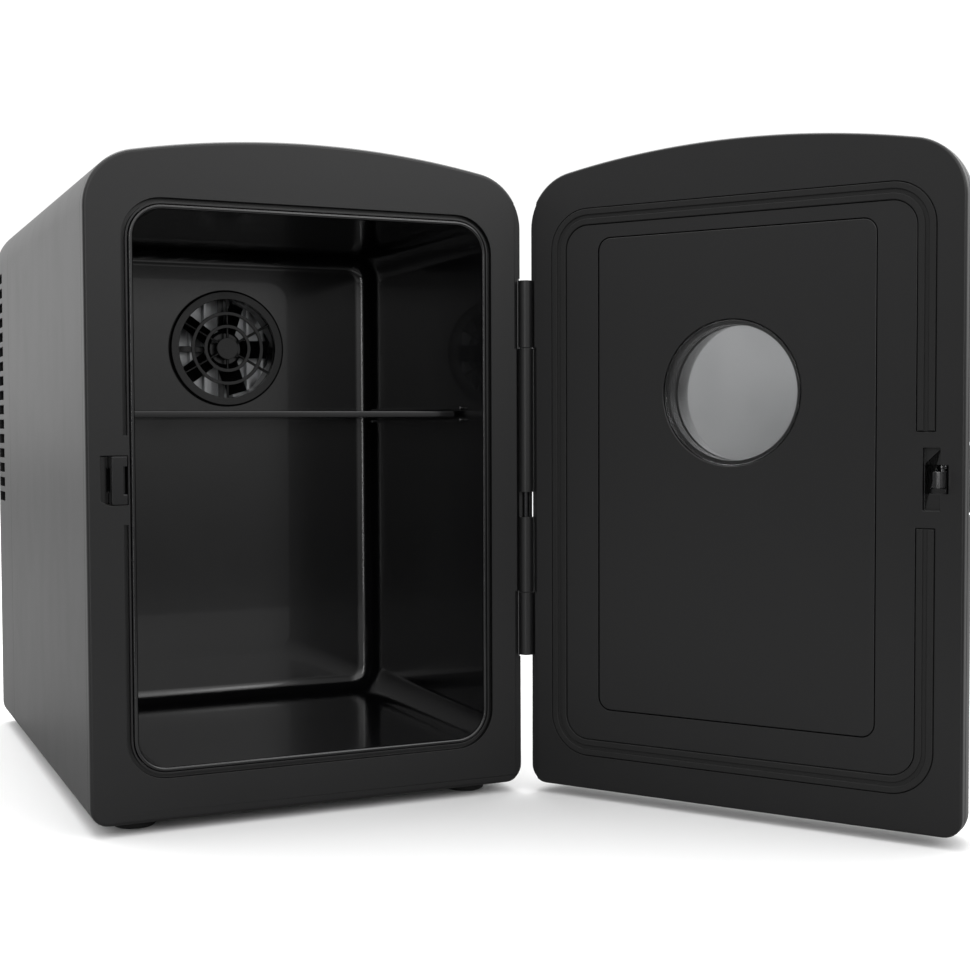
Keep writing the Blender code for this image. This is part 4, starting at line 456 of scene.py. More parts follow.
bead = [(1.7, 0.9), (1.7, -0.25), (1.55, -0.55), (1.25, -0.74), (0.9, -0.8), (0.5, -0.74),
        (0.2, -0.5), (0.05, -0.15), (0.0, 0.4)]
sections = [(opening(out * MM), face_y + deep * MM) for out, deep in bead]
heel = 7 * MM
for step in range(1, 8):
    angle = math.radians(90 * step / 7)
    sections.append((opening(-heel * (1 - math.cos(angle)) - 0.01 * MM),
                     cavity_back - heel + heel * math.sin(angle)))
liner = lofted("cavity_tub", sections)
thicken(liner, 1.3 * MM)
carve(liner, post((0, cavity_back - 5 * MM, stack_z), (0, liner_back + 5 * MM, stack_z),
                  24 * MM, 64))
soften(liner, 0)
dress(liner, GLOSS_LINER, "black_liner", "cabinet", "cavity_liner")
for side, side_name in ((-1, "left"), (1, "right")):
    wall = side * (cavity_high.x + 0.4 * MM)
    inner = side * (cavity_high.x - 2.2 * MM)
    for level, centre in (("upper", shelf_z + 2.5 * MM), ("lower", shelf_z - 2.5 * MM)):
        rail = block((min(wall, inner), shelf_low.y - 4 * MM, centre - 0.8 * MM),
                     (max(wall, inner), shelf_high.y, centre + 0.8 * MM))
        rail.name = f"shelf_rail_{side_name}_{level}"
        round_edges(rail, lambda p: p.y < shelf_low.y, 0.7 * MM, 4)
        soften(rail, 0.3 * MM, 3)
        dress(rail, GLOSS_LINER, "black_liner", "cabinet")

# ---- Foam -------------------------------------------------------------------------------
# Expanded polystyrene blocks fill the cabinet and the door: white beads pressed together,
# each a few millimetres across.
def bead_foam():
    """White foam whose pressed beads show as cells with a dark line between them."""
    material, tree, shader = new_finish("bead foam", specular=0.2)
    place = put(tree, "ShaderNodeTexCoord").outputs["Object"]
    cells = put(tree, "ShaderNodeTexVoronoi", {"Vector": place, "Scale": 300.0},
                feature="DISTANCE_TO_EDGE")
    tint = put(tree, "ShaderNodeTexVoronoi", {"Vector": place, "Scale": 300.0})
    line = put(tree, "ShaderNodeMapRange", {"Value": cells.outputs[0], "From Max": 0.12,
                                            "To Min": 0.55, "To Max": 0.86})
    mixed = put(tree, "ShaderNodeMix", {0: 0.05, 6: line.outputs[0], 7: tint.outputs["Color"]},
                data_type="RGBA")
    bump = put(tree, "ShaderNodeBump", {"Height": cells.outputs[0], "Distance": 0.4 * MM})
    feed(tree, shader, mixed.outputs[2], relief=bump.outputs[0])
    shader.inputs["Roughness"].default_value = 0.85
    return material


BEAD_FOAM = bead_foam()


def repaint(material, *names):
    """Give parts that keep their shape a better finish."""
    for name in names:
        node = frame["nodes"][name]
        node.data.materials.clear()
        node.data.materials.append(material)


repaint(BEAD_FOAM, "cabinet_insulation", "door_insulation")

# ---- Feet -------------------------------------------------------------------------------
# Four round rubber feet, with a rounded lower edge and a small hollow underneath, are pushed into
# the base.
RUBBER = moulded_plastic("black rubber", (0.012, 0.012, 0.012), 0.72, 2600.0, 0.012 * MM,
                         specular=0.35)
for number in range(1, 5):
    foot_low, foot_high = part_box(f"foot_{number}")
    foot_x = (foot_low.x + foot_high.x) / 2 - middle_x
    foot_y = (foot_low.y + foot_high.y) / 2
    foot = post((foot_x, foot_y, 0), (foot_x, foot_y, base_z - 0.15 * MM), 8 * MM, 56)
    foot.name = f"rubber_foot_{number}"
    carve(foot, post((foot_x, foot_y, -1 * MM), (foot_x, foot_y, 0.8 * MM), 4.6 * MM, 40))
    round_edges(foot, lambda p: p.z < 0.1 * MM, 0.9 * MM, 5)
    soften(foot, 0.2 * MM)
    dress(foot, RUBBER, "dark_rubber", "cabinet", f"foot_{number}")

# ---- Shelf ------------------------------------------------------------------------------
# A flat moulded shelf with seven long air slots slides in between the rails.  It is glossy black
# like the tub, with rolled edges.
slot_count = 7
shelf_reach = (shelf_high.x - shelf_low.x) / 2
slot_pitch = 2 * shelf_reach / (slot_count + 1)
slot_low, slot_high = shelf_low.y + 16 * MM, shelf_high.y - 16 * MM


def flat_plate(name, loops, low, high):
    """A plate lying flat: outlines in plan, between two heights."""
    plate = drawn_plate(name, loops, -high, -low)
    only(plate)
    plate.data.transform(Matrix.Rotation(-math.pi / 2, 4, "X"))
    plate.data.update()
    return plate


slots = []
for index in range(slot_count):
    centre = -shelf_reach + slot_pitch * (index + 1)
    slots.append(rounded(centre - 2.5 * MM, centre + 2.5 * MM, slot_low, slot_high, 2.45 * MM, 6))
shelf = flat_plate("air_slot_shelf", [
    rounded(-shelf_reach, shelf_reach, shelf_low.y, shelf_high.y, 3 * MM, 8), *slots],
    shelf_low.z, shelf_high.z)
soften(shelf, 0.5 * MM, 3)
dress(shelf, GLOSS_LINER, "black_liner", "shelf", "shelf")

# ---- Fan guard --------------------------------------------------------------------------
# A round satin guard clips over the hole in the tub's back: an outer flange, two rings and
# six spokes, all with soft moulded edges.
SATIN_TRIM = moulded_plastic("satin trim", (0.0075, 0.0075, 0.008), 0.24, 1100.0, 0.004 * MM)


def turned(name, profile, across, up, steps=96):
    """A ring or disc spun from a closed profile of (radius, y) about a fore-and-aft axis."""
    mesh = bpy.data.meshes.new(name)
    points = [(radius, y, 0) for radius, y in profile]
    mesh.from_pydata(points, [(n, (n + 1) % len(points)) for n in range(len(points))], [])
    piece = bpy.data.objects.new(name, mesh)
    bpy.context.scene.collection.objects.link(piece)
    only(piece)
    bpy.ops.object.mode_set(mode="EDIT")
    bpy.ops.mesh.select_all(action="SELECT")
    bpy.ops.mesh.spin(steps=steps, angle=2 * math.pi, center=(0, 0, 0), axis=(0, 1, 0))
    bpy.ops.mesh.select_all(action="SELECT")
    bpy.ops.mesh.remove_doubles(threshold=0.002 * MM)
    bpy.ops.mesh.normals_make_consistent(inside=False)
    bpy.ops.object.mode_set(mode="OBJECT")
    piece.location = (middle_x + across, 0, up)
    bpy.ops.object.transform_apply()
    return piece


guard_low, guard_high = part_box("inner_fan_guard")
guard_face = guard_low.y
guard_radius = 27 * MM
guard = turned("fan_guard", [
    (guard_radius, guard_face + 0.8 * MM), (guard_radius, guard_high.y),
    (guard_radius - 4.2 * MM, guard_high.y), (guard_radius - 4.2 * MM, guard_face),
    (guard_radius - 0.8 * MM, guard_face)], 0, stack_z)
for radius in (17 * MM, 11 * MM):
    carve(guard, turned("ring", [(radius, guard_face), (radius, guard_face + 1.4 * MM),
                                 (radius - 1.6 * MM, guard_face + 1.4 * MM),
                                 (radius - 1.6 * MM, guard_face)], 0, stack_z), operation="UNION")
carve(guard, post((0, guard_face - 0.1 * MM, stack_z), (0, guard_face + 1.5 * MM, stack_z), 5 * MM),
      operation="UNION")
for index in range(3):
    angle = math.radians(60 * index + 30)
    reach = Vector((math.cos(angle), 0, math.sin(angle))) * (guard_radius - 2 * MM)
    hub = Vector((0, guard_face + 0.75 * MM, stack_z))
    carve(guard, post(hub - reach, hub + reach, 0.62 * MM, 12), operation="UNION")
soften(guard, 0.2 * MM)
dress(guard, SATIN_TRIM, "black_trim", "cabinet", "inner_fan_guard")

# ---- Fans, sinks and module -------------------------------------------------------------
# Behind the tub an axial fan blows over the cold sink, a block carries the heat to the
# thermoelectric tile, and a finned sink with a large fan sheds it at the back.
def from_part(node, name, width, steps=2):
    """A merged copy of a part's skin with its flats made whole and its edges eased."""
    piece = bpy.data.objects.new(name, frame["nodes"][node].data.copy())
    bpy.context.scene.collection.objects.link(piece)
    only(piece)
    bpy.ops.object.mode_set(mode="EDIT")
    bpy.ops.mesh.select_all(action="SELECT")
    bpy.ops.mesh.customdata_custom_splitnormals_clear()
    bpy.ops.mesh.remove_doubles(threshold=0.002 * MM)
    bpy.ops.mesh.dissolve_limited(angle_limit=math.radians(0.5))
    bpy.ops.object.mode_set(mode="OBJECT")
    soften(piece, width, steps)
    return piece


def eased(node, name, material, slot, width, steps=2, body="cabinet"):
    """Put an eased copy of a part in the part's place."""
    dress(from_part(node, name, width, steps), material, slot, body, node)


def drawn_metal(name, colour, roughness, stretch, scale, depth):
    """Bare metal with fine lines drawn along it and slight patches of tarnish."""
    material, tree, shader = new_finish(name, metallic=1.0)
    place = put(tree, "ShaderNodeTexCoord").outputs["Object"]
    lined = put(tree, "ShaderNodeMapping", {"Vector": place, "Scale": stretch})
    lines = put(tree, "ShaderNodeTexNoise", {"Vector": lined.outputs[0], "Scale": scale,
                                             "Detail": 4.0})
    patch = put(tree, "ShaderNodeTexNoise", {"Vector": place, "Scale": 60.0, "Detail": 4.0})
    dull = tuple(0.72 * part for part in colour)
    tone = put(tree, "ShaderNodeMix", {0: patch.outputs[0], 6: (*colour, 1), 7: (*dull, 1)},
               data_type="RGBA")
    gloss = put(tree, "ShaderNodeMapRange", {"Value": lines.outputs[0], "To Min": roughness - 0.09,
                                             "To Max": roughness + 0.14})
    bump = put(tree, "ShaderNodeBump", {"Height": lines.outputs[0], "Distance": depth})
    feed(tree, shader, tone.outputs[2], gloss.outputs[0], bump.outputs[0])
    return material


ALUMINIUM = drawn_metal("extruded aluminium", (0.62, 0.63, 0.64), 0.36, (3.0, 0.3, 0.3), 900.0,
                        0.01 * MM)
STEEL = drawn_metal("plated steel", (0.52, 0.52, 0.53), 0.26, (1.0, 1.0, 0.2), 2400.0, 0.004 * MM)
CERAMIC = moulded_plastic("white ceramic", (0.74, 0.74, 0.72), 0.45, 3200.0, 0.006 * MM,
                          handling=0.3)
for node, body in (("inner_fan_frame", "cabinet"), ("inner_fan_rotor", "inner_fan_rotor"),
                   ("rear_fan_frame", "cabinet"), ("rear_fan_rotor", "rear_fan_rotor")):
    eased(node, f"eased_{node}", SATIN_TRIM, "black_trim", 0.15 * MM, body=body)
for node in ("cold_sink", "hot_sink", "spacer_block"):
    eased(node, f"eased_{node}", ALUMINIUM, "aluminium", 0.12 * MM)
eased("thermoelectric_module", "ceramic_tile", CERAMIC, "white_ceramic", 0.1 * MM)

# ---- Chassis ----------------------------------------------------------------------------
# A moulded plate closes the foam, carries the sink and the board, and has four hollow posts
# that the cover's screws bite into.
eased("rear_chassis", "works_chassis", SATIN_TRIM, "black_trim", 0.25 * MM)

# ---- Rear cover -------------------------------------------------------------------------
# The cap over the works is moulded in the case's grained black plastic, with a round rear
# edge, sixteen vents in each side, nine slots over the fan and holes for the fittings.
cover_low, cover_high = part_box("rear_cover")
rear_round = 5 * MM
rear_wall = 2.4 * MM
vent_pitch, vent_slot, vent_length, vent_top = 7.24 * MM, 4.5 * MM, 18 * MM, 228 * MM
vent_back = cover_high.y - 7 * MM
fittings_z = 46 * MM
inlet_x, socket_x, switch_x = -36 * MM, -4 * MM, 30 * MM
cover_sections = [(arched(), cover_low.y), (arched(), cover_low.y + 20 * MM)]
for step in range(0, 11):
    angle = math.radians(90 * step / 10)
    cover_sections.append((arched(rear_round * (1 - math.cos(angle))),
                           cover_high.y - rear_round * (1 - math.sin(angle))))
cover = lofted("rear_cap", cover_sections)
mend(cover)
thicken(cover, rear_wall)
for index in range(16):
    high = vent_top - vent_pitch * index
    carve(cover, block((-half_width - 5 * MM, vent_back - vent_length, high - vent_slot),
                       (half_width + 5 * MM, vent_back, high)))
for index in range(9):
    offset = 80 * MM / 9 * (index - 4)
    reach = math.sqrt((42 * MM) ** 2 - offset ** 2)
    low = stack_z + offset - 2.4 * MM
    carve(cover, drawn_plate("slot", [rounded(-reach, reach, low, low + 4.8 * MM, 2.35 * MM, 8)],
                             cover_high.y - 9 * MM, cover_high.y + 5 * MM))
screw_places = [(side * 74.25 * MM, height) for side in (-1, 1) for height in (19 * MM, 220.2 * MM)]
hole_front, hole_back = cover_high.y - 9 * MM, cover_high.y + 5 * MM
for x, z in screw_places:
    carve(cover, post((x, hole_front, z), (x, hole_back, z), 1.7 * MM, 24))
for x, wide, tall in ((inlet_x, 20.6 * MM, 12.6 * MM), (switch_x, 13.6 * MM, 19.6 * MM)):
    carve(cover, drawn_plate("hole", [rounded(
        x - wide / 2, x + wide / 2, fittings_z - tall / 2, fittings_z + tall / 2, 2 * MM, 4)],
        hole_front, hole_back))
carve(cover, post((socket_x, hole_front, fittings_z), (socket_x, hole_back, fittings_z), 7.3 * MM))
soften(cover, 0.3 * MM, 2)
dress(cover, BLACK_CASE, "black_case", "cabinet", "rear_cover")

# ---- Cover screws -----------------------------------------------------------------------
# Four plated pan-head screws with a cross recess hold the cover to the chassis posts.
for number in range(1, 5):
    screw_low, screw_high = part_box(f"cover_screw_{number}")
    x = (screw_low.x + screw_high.x) / 2 - middle_x
    z = (screw_low.z + screw_high.z) / 2
    seat = cover_high.y + 0.3 * MM
    head = [(2.8 * MM, seat), (2.8 * MM, seat + 0.5 * MM), (2.6 * MM, seat + 1.1 * MM),
            (2.1 * MM, seat + 1.55 * MM), (1.3 * MM, seat + 1.75 * MM),
            (0.01 * MM, seat + 1.8 * MM), (0.01 * MM, screw_low.y),
            (1.0 * MM, screw_low.y + 0.4 * MM),
            (1.3 * MM, screw_low.y + 1.6 * MM), (1.3 * MM, seat)]
    screw = turned(f"pan_screw_{number}", head, x, z, 40)
    for wide, tall in ((1.7 * MM, 0.32 * MM), (0.32 * MM, 1.7 * MM)):
        carve(screw, block((x - wide, seat + 0.9 * MM, z - tall),
                           (x + wide, seat + 5 * MM, z + tall)))
    soften(screw, 0.08 * MM)
    dress(screw, STEEL, "steel", "cabinet", f"cover_screw_{number}")

# ---- Rear fittings ----------------------------------------------------------------------
# Mains inlet, low-voltage socket and the rocker switch in its frame snap into the cover.
# They are moulded in the glossier black and have plain faces.
for node, body in (("mains_inlet", "cabinet"), ("low_voltage_socket", "cabinet"),
                   ("switch_frame", "cabinet"), ("mode_switch", "mode_switch")):
    eased(node, f"eased_{node}", SATIN_TRIM, "black_trim", 0.25 * MM, 3, body)

# ---- Control board ----------------------------------------------------------------------
# A small glass-fibre board with green mask stands on the chassis below the sink.
def board_finish():
    """Green solder mask with faint tracks below it and the weave of the laminate."""
    material, tree, shader = new_finish("green solder mask", coat=0.3)
    place = put(tree, "ShaderNodeTexCoord").outputs["Object"]
    turn = put(tree, "ShaderNodeMapping", {"Vector": place, "Rotation": (math.pi / 2, 0, 0)})
    tracks = put(tree, "ShaderNodeTexBrick", {
        "Vector": turn.outputs[0], "Color1": (0.012, 0.10, 0.045, 1),
        "Color2": (0.018, 0.13, 0.055, 1), "Mortar": (0.05, 0.24, 0.10, 1), "Scale": 190.0,
        "Mortar Size": 0.035, "Brick Width": 1.7, "Row Height": 0.45})
    weave = put(tree, "ShaderNodeTexWave", {"Vector": place, "Scale": 500.0, "Distortion": 1.0})
    bump = put(tree, "ShaderNodeBump", {"Height": tracks.outputs["Fac"], "Distance": 0.03 * MM})
    gloss = put(tree, "ShaderNodeMapRange", {"Value": weave.outputs["Fac"], "To Min": 0.30,
                                             "To Max": 0.42})
    feed(tree, shader, tracks.outputs["Color"], gloss.outputs[0], bump.outputs[0])
    return material


eased("control_board", "driver_board", board_finish(), "board_green", 0.1 * MM)

# ---- Carry handle -----------------------------------------------------------------------
# A bail of grained plastic turns on two steel pins in brackets on the arch, and lies back
# flat when not in use.  Its middle is thicker, with soft shoulders, for the hand.
bail_low, bail_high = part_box("carry_handle")
pin_low, pin_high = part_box("handle_pin_left")
pivot_y, pivot_z = (pin_low.y + pin_high.y) / 2, (pin_low.z + pin_high.z) / 2
bar_radius, grip_radius, bail_corner = 3.4 * MM, 4.6 * MM, 11 * MM
leg_x = (bail_high.x - bail_low.x) / 2 - bar_radius
far_y = pivot_y + 38 * MM
path = [(leg_x, pivot_y - 3.4 * MM)]
path += arc_points(leg_x - bail_corner, far_y - bail_corner, bail_corner, 0, 90, 20)
path += arc_points(bail_corner - leg_x, far_y - bail_corner, bail_corner, 90, 180, 20)
path += [(-leg_x, pivot_y - 3.4 * MM)]
drawing = bpy.data.curves.new("bail", "CURVE")
drawing.dimensions = "3D"
drawing.bevel_depth = bar_radius
drawing.bevel_resolution = 8
drawing.use_fill_caps = True
line = drawing.splines.new("POLY")
line.points.add(len(path) - 1)
for point, (x, y) in zip(line.points, path):
    point.co = (x + middle_x, y, pivot_z, 1)
bail = bpy.data.objects.new("carry_bail", drawing)
bpy.context.scene.collection.objects.link(bail)
only(bail)
bpy.ops.object.convert(target="MESH")
mend(bail, 0.002 * MM)
grip = post((-27 * MM, far_y, pivot_z), (27 * MM, far_y, pivot_z), grip_radius, 48)
round_edges(grip, lambda p: True, 1.1 * MM, 5)
carve(bail, grip, operation="UNION")
for side in (-1, 1):
    carve(bail, post((side * 30 * MM, pivot_y, pivot_z), (side * 60 * MM, pivot_y, pivot_z),
                     1.8 * MM, 32))
soften(bail, 0.3 * MM, 3)
dress(bail, BLACK_CASE, "black_case", "carry_handle", "carry_handle")
for side in ("left", "right"):
    eased(f"handle_bracket_{side}", f"bail_bracket_{side}", BLACK_CASE, "black_case", 0.5 * MM, 3)
    eased(f"handle_pin_{side}", f"bail_pin_{side}", STEEL, "steel", 0.2 * MM)

# ---- Keeper and hinge pin ---------------------------------------------------------------
# The glossy keeper sits in the face frame beside the opening, and the hook catches behind
# its edge.  A steel pin runs through the hinge and shows in the barrel's window.
GLOSS_TRIM = moulded_plastic("gloss trim", (0.006, 0.006, 0.0065), 0.13, 420.0, 0.004 * MM,
                             coat=0.3, coat_roughness=0.05)
eased("latch_keeper", "strike_keeper", GLOSS_TRIM, "black_trim", 0.25 * MM, 3)
DARK_STEEL = drawn_metal("blackened steel", (0.045, 0.045, 0.047), 0.30, (1.0, 1.0, 0.2), 2400.0,
                         0.004 * MM)
eased("hinge_pin", "dark_hinge_pin", DARK_STEEL, "steel", 0.2 * MM)

# ---- Door face --------------------------------------------------------------------------
# The door's inner face is a flat grained moulding with a groove for the seal, a seat for the
# inset plate and a recess beside the latch.  Two knuckles on its heel turn on the pin.
door_gap = 1.5 * MM
door_face = face_y - door_gap
panel_back = door_face - 4 * MM
door_thick = 26.5 * MM
window_z = 163.9 * MM
window_radius = 28 * MM
lever_x, lever_y = -78 * MM, face_y - 9.5 * MM
lug_spans = ((125.1 * MM, 128.7 * MM), (137.9 * MM, 141.5 * MM))
seal_break = (114.2 * MM, 149.2 * MM)


def seal_outline(outset=0.0):
    """The seal's outer edge, drawn out by outset."""
    reach = 77.6 * MM + outset
    return rounded(-reach, reach, 17.9 * MM - outset, 238.3 * MM + outset, 16 * MM + outset, 12)


def inset_outline(outset=0.0):
    """The inset plate's edge, drawn out by outset."""
    reach = 56.3 * MM + outset
    return rounded(-reach, reach, 37.3 * MM - outset, 226 * MM + outset, 5 * MM + outset, 8)


def window_bore():
    """A round bar that cuts the window's hole through the door's inner pieces."""
    return post((0, face_y + 5 * MM, window_z), (0, face_y - 30 * MM, window_z), window_radius, 96)


def swing_open(piece):
    """Turn a piece of the shut door about the hinge to where the door stands."""
    turn = Matrix.Rotation(math.radians(-hinge["range_deg"][0]), 4, "Z")
    piece.matrix_world = Matrix.Translation(hinge_point) @ turn @ Matrix.Translation(-hinge_point)
    only(piece)
    bpy.ops.object.transform_apply()


def on_door(piece, material, slot, node, body="door"):
    """Swing a finished piece of the shut door open and dress it."""
    swing_open(piece)
    dress(piece, material, slot, body, node)


panel = drawn_plate("door_face", [arched(0.05 * MM)], panel_back, door_face)
round_edges(panel, lambda p: p.y > door_face - 0.1 * MM, 1.0 * MM, 5)
seat = drawn_plate("seat", [seal_outline(0.3 * MM), seal_outline(-6.7 * MM)],
                   door_face - 1.4 * MM, door_face + 5 * MM)
carve(seat, block((-half_width, door_face - 9 * MM, seal_break[0] + 0.3 * MM),
                  (0, door_face + 9 * MM, seal_break[1] - 0.3 * MM)))
webs = [(barrel[0], barrel[1]), (barrel[2], barrel[3])]
recess_right = -73.4 * MM
carve(panel, seat,
      drawn_plate("inset", [inset_outline(0.3 * MM)], door_face - 1.9 * MM, door_face + 5 * MM),
      block((plate_left - 0.4 * MM, door_face - 2.2 * MM, latch_z - 11.2 * MM),
            (recess_right, door_face + 5 * MM, latch_z + 11.2 * MM)),
      block((pocket_left + 0.6 * MM, panel_back - 0.3 * MM, latch_z - 5.1 * MM),
            (recess_right - 0.2 * MM, door_face + 5 * MM, latch_z + 5.1 * MM)),
      drawn_plate("strip", [set_back_strip(webs)], door_face - hinge_set_back, door_face + 5 * MM))
collar = post((0, panel_back + 1 * MM, window_z), (0, face_y - 12.1 * MM, window_z), 30 * MM, 96)
carve(panel, collar, operation="UNION")
for low, high in lug_spans:
    carve(panel, block((lever_x - 2.8 * MM, lever_y - 2.6 * MM, low),
                       (lever_x + 3.4 * MM, panel_back + 0.5 * MM, high)), operation="UNION")
carve(panel, window_bore(),
      post((lever_x, lever_y, latch_z - 30 * MM), (lever_x, lever_y, latch_z + 30 * MM),
           1.3 * MM, 24))
carve(panel, hinge_post(barrel[1] - 0.2 * MM, barrel[2] + 0.2 * MM, knuckle_room))
soften(panel, 0.2 * MM)
knuckles = []
for low, high in ((barrel[0], barrel[1] - knuckle_gap), (barrel[2] + knuckle_gap, barrel[3])):
    knuckle = hinge_post(low, high, knuckle_radius)
    carve(knuckle, hinge_post(0, top_z, pin_hole))
    soften(knuckle, 0.12 * MM)
    knuckles.append(knuckle)
join_on(panel, *knuckles)
on_door(panel, BLACK_CASE, "black_case", "door_inner_panel")

# ---- Seal -------------------------------------------------------------------------------
# A soft rubber ring is pressed into the groove and meets the bead round the tub.  It has a
# shallow channel along its middle, and it stops on either side of the latch.
seal = drawn_plate("door_seal", [seal_outline(), seal_outline(-6.4 * MM)], door_face - 1.1 * MM,
                   door_face + 0.4 * MM)
channel = drawn_plate("channel", [seal_outline(-2.5 * MM), seal_outline(-3.9 * MM)],
                      door_face - 0.1 * MM, door_face + 5 * MM)
carve(seal, channel, block((-half_width, door_face - 9 * MM, seal_break[0]),
                           (0, door_face + 9 * MM, seal_break[1])))
round_edges(seal, lambda p: p.y > door_face + 0.35 * MM, 0.38 * MM, 4)
soften(seal, 0)
on_door(seal, RUBBER, "dark_rubber", "door_gasket")

# ---- Inset plate ------------------------------------------------------------------------
# A thin plate of the case plastic is let into the door's inner face, with a shadow line all
# round it and a hole for the window.
plate = drawn_plate("inset_plate", [inset_outline()], door_face - 1.6 * MM, door_face - 0.05 * MM)
carve(plate, window_bore())
soften(plate, 0.4 * MM, 4)
on_door(plate, BLACK_CASE, "black_case", "door_inset_plate")

# ---- Window -----------------------------------------------------------------------------
# Two round panes of smoked acrylic sit in the collar, held apart by a ridged black ring.
# They let through about two thirds of the light each and scatter it a little.
def smoked_acrylic():
    """Grey see-through acrylic, with a slightly uneven tint and gloss."""
    material, tree, shader = new_finish("smoked acrylic")
    place = put(tree, "ShaderNodeTexCoord").outputs["Object"]
    haze = put(tree, "ShaderNodeTexNoise", {"Vector": place, "Scale": 22.0, "Detail": 2.0})
    tint = put(tree, "ShaderNodeMix", {0: haze.outputs[0], 6: (0.54, 0.545, 0.55, 1),
                                       7: (0.76, 0.765, 0.77, 1)}, data_type="RGBA")
    gloss = put(tree, "ShaderNodeMapRange", {"Value": haze.outputs[0], "To Min": 0.03,
                                             "To Max": 0.12})
    feed(tree, shader, tint.outputs[2], gloss.outputs[0])
    shader.inputs["Transmission Weight"].default_value = 1.0
    shader.inputs["IOR"].default_value = 1.49
    return material


SMOKED_ACRYLIC = smoked_acrylic()
pane_radius = window_radius - 0.3 * MM
inner_face = door_face - 0.3 * MM
pane_thick, ring_wall, ring_length = 2.2 * MM, 1.7 * MM, 5 * MM
spacer_face = inner_face - 2.5 * MM
outer_face = spacer_face - 5.3 * MM
for name, face_place, node in (("window_inside", inner_face, "inner_pane"),
                               ("window_outside", outer_face, "outer_pane")):
    rim = 0.35 * MM
    pane = turned(name, [
        (0.0, face_place), (pane_radius - rim, face_place),
        (pane_radius - 0.1 * MM, face_place - 0.1 * MM), (pane_radius, face_place - rim),
        (pane_radius, face_place - pane_thick + rim),
        (pane_radius - 0.1 * MM, face_place - 2.1 * MM),
        (pane_radius - rim, face_place - pane_thick), (0.0, face_place - pane_thick)], 0, window_z)
    soften(pane, 0)
    on_door(pane, SMOKED_ACRYLIC, "smoke_pane", node)
ring = [(pane_radius, spacer_face), (pane_radius, spacer_face - ring_length),
        (pane_radius - ring_wall, spacer_face - ring_length)]
for step in range(4, -1, -1):
    ring += [(pane_radius - ring_wall, spacer_face - (step + 0.75) * MM),
             (pane_radius - 1.4 * MM, spacer_face - (step + 0.5) * MM),
             (pane_radius - ring_wall, spacer_face - (step + 0.25) * MM)]
ring.append((pane_radius - ring_wall, spacer_face))
spacer = turned("pane_ring", ring, 0, window_z)
soften(spacer, 0)
on_door(spacer, GLOSS_TRIM, "black_trim", "pane_spacer")

# ---- Porthole trim ----------------------------------------------------------------------
# A flared bezel frames the window on the outside of the door: a smooth cone with a rolled
# flange that laps over the door's shell.
flare_reach, flare_wall = 4.5 * MM, 1.6 * MM
bore = pane_radius - ring_wall
mouth = bore + flare_reach
root = outer_face - pane_thick - 0.6 * MM
flange_back = door_face - door_thick - 0.3 * MM
lip = flange_back - 1.8 * MM
flare = [(bore + flare_wall, root)]
inner_flare = []
for step in range(1, 17):
    share = step / 16
    spread = flare_reach * (0.55 * share + 0.45 * share ** 3)
    flare.append((bore + flare_wall + spread * (mouth - bore - flare_wall) / flare_reach,
                  root + (flange_back - root) * share))
    inner_flare.append((bore + spread * (mouth - flare_wall - bore) / flare_reach,
                        root + (flange_back - root) * share))
rim_outer = 36 * MM
profile = flare + [(rim_outer, flange_back), (rim_outer, flange_back - 0.6 * MM)]
profile += [(rim_outer - 1.2 * MM * (1 - math.cos(angle)), flange_back - 0.6 * MM
             - 1.2 * MM * math.sin(angle)) for angle in (0.35, 0.7, 1.05, 1.4)]
profile += [(rim_outer - 1.4 * MM, lip), (mouth + 0.9 * MM, lip),
            (mouth + 0.2 * MM, lip + 0.12 * MM), (mouth - 0.45 * MM, lip + 0.5 * MM),
            (mouth - 0.9 * MM, lip + 1.05 * MM)]
profile += list(reversed(inner_flare)) + [(bore, root)]
trim = turned("porthole_bezel", profile, 0, window_z, 128)
soften(trim, 0)
on_door(trim, GLOSS_TRIM, "black_trim", "porthole_trim")

# ---- Door shell -------------------------------------------------------------------------
# The outside of the door is one deep grained moulding whose sides sweep in towards a flat
# front, like a pillow.  It is open for the porthole and for the latch's side pad.
shell_start = panel_back - 0.3 * MM
shell_front = door_face - door_thick
crown = 12 * MM
shell_sections = []
for step in range(0, 21):
    angle = math.radians(90 * step / 20)
    shell_sections.append((arched(0.05 * MM + crown * (1 - math.cos(angle))),
                           shell_start - (shell_start - shell_front) * math.sin(angle)))
shell = lofted("door_shell", shell_sections)
mend(shell)
thicken(shell, 2.2 * MM)
carve(shell, post((0, face_y, window_z), (0, face_y - 45 * MM, window_z), 32.2 * MM, 96),
      block((-half_width - 5 * MM, lever_y - 15 * MM, latch_z - 13.2 * MM),
            (-half_width + 10 * MM, lever_y + 1.4 * MM, latch_z + 13.2 * MM)),
      block((hinge_x - 3 * MM, hinge_point.y - 3 * MM, 0),
            (hinge_x + 9 * MM, face_y + 5 * MM, top_z)))
soften(shell, 0.3 * MM, 3)
on_door(shell, BLACK_CASE, "black_case", "door_outer_shell")

# ---- Latch ------------------------------------------------------------------------------
# The lever's hook, polished and with its colour lightened to a grey that paints on its highlight,
# swings on a steel pin between the two lugs, and a wire spring presses it shut.  Its side pad
# follows the door's curve and is squeezed to open.
hook_half = 2.9 * MM


def turn_shut():
    """The turn about the hinge that takes the open door to where it is shut."""
    back = Matrix.Rotation(math.radians(hinge["range_deg"][0]), 4, "Z")
    return Matrix.Translation(hinge_point) @ back @ Matrix.Translation(-hinge_point)


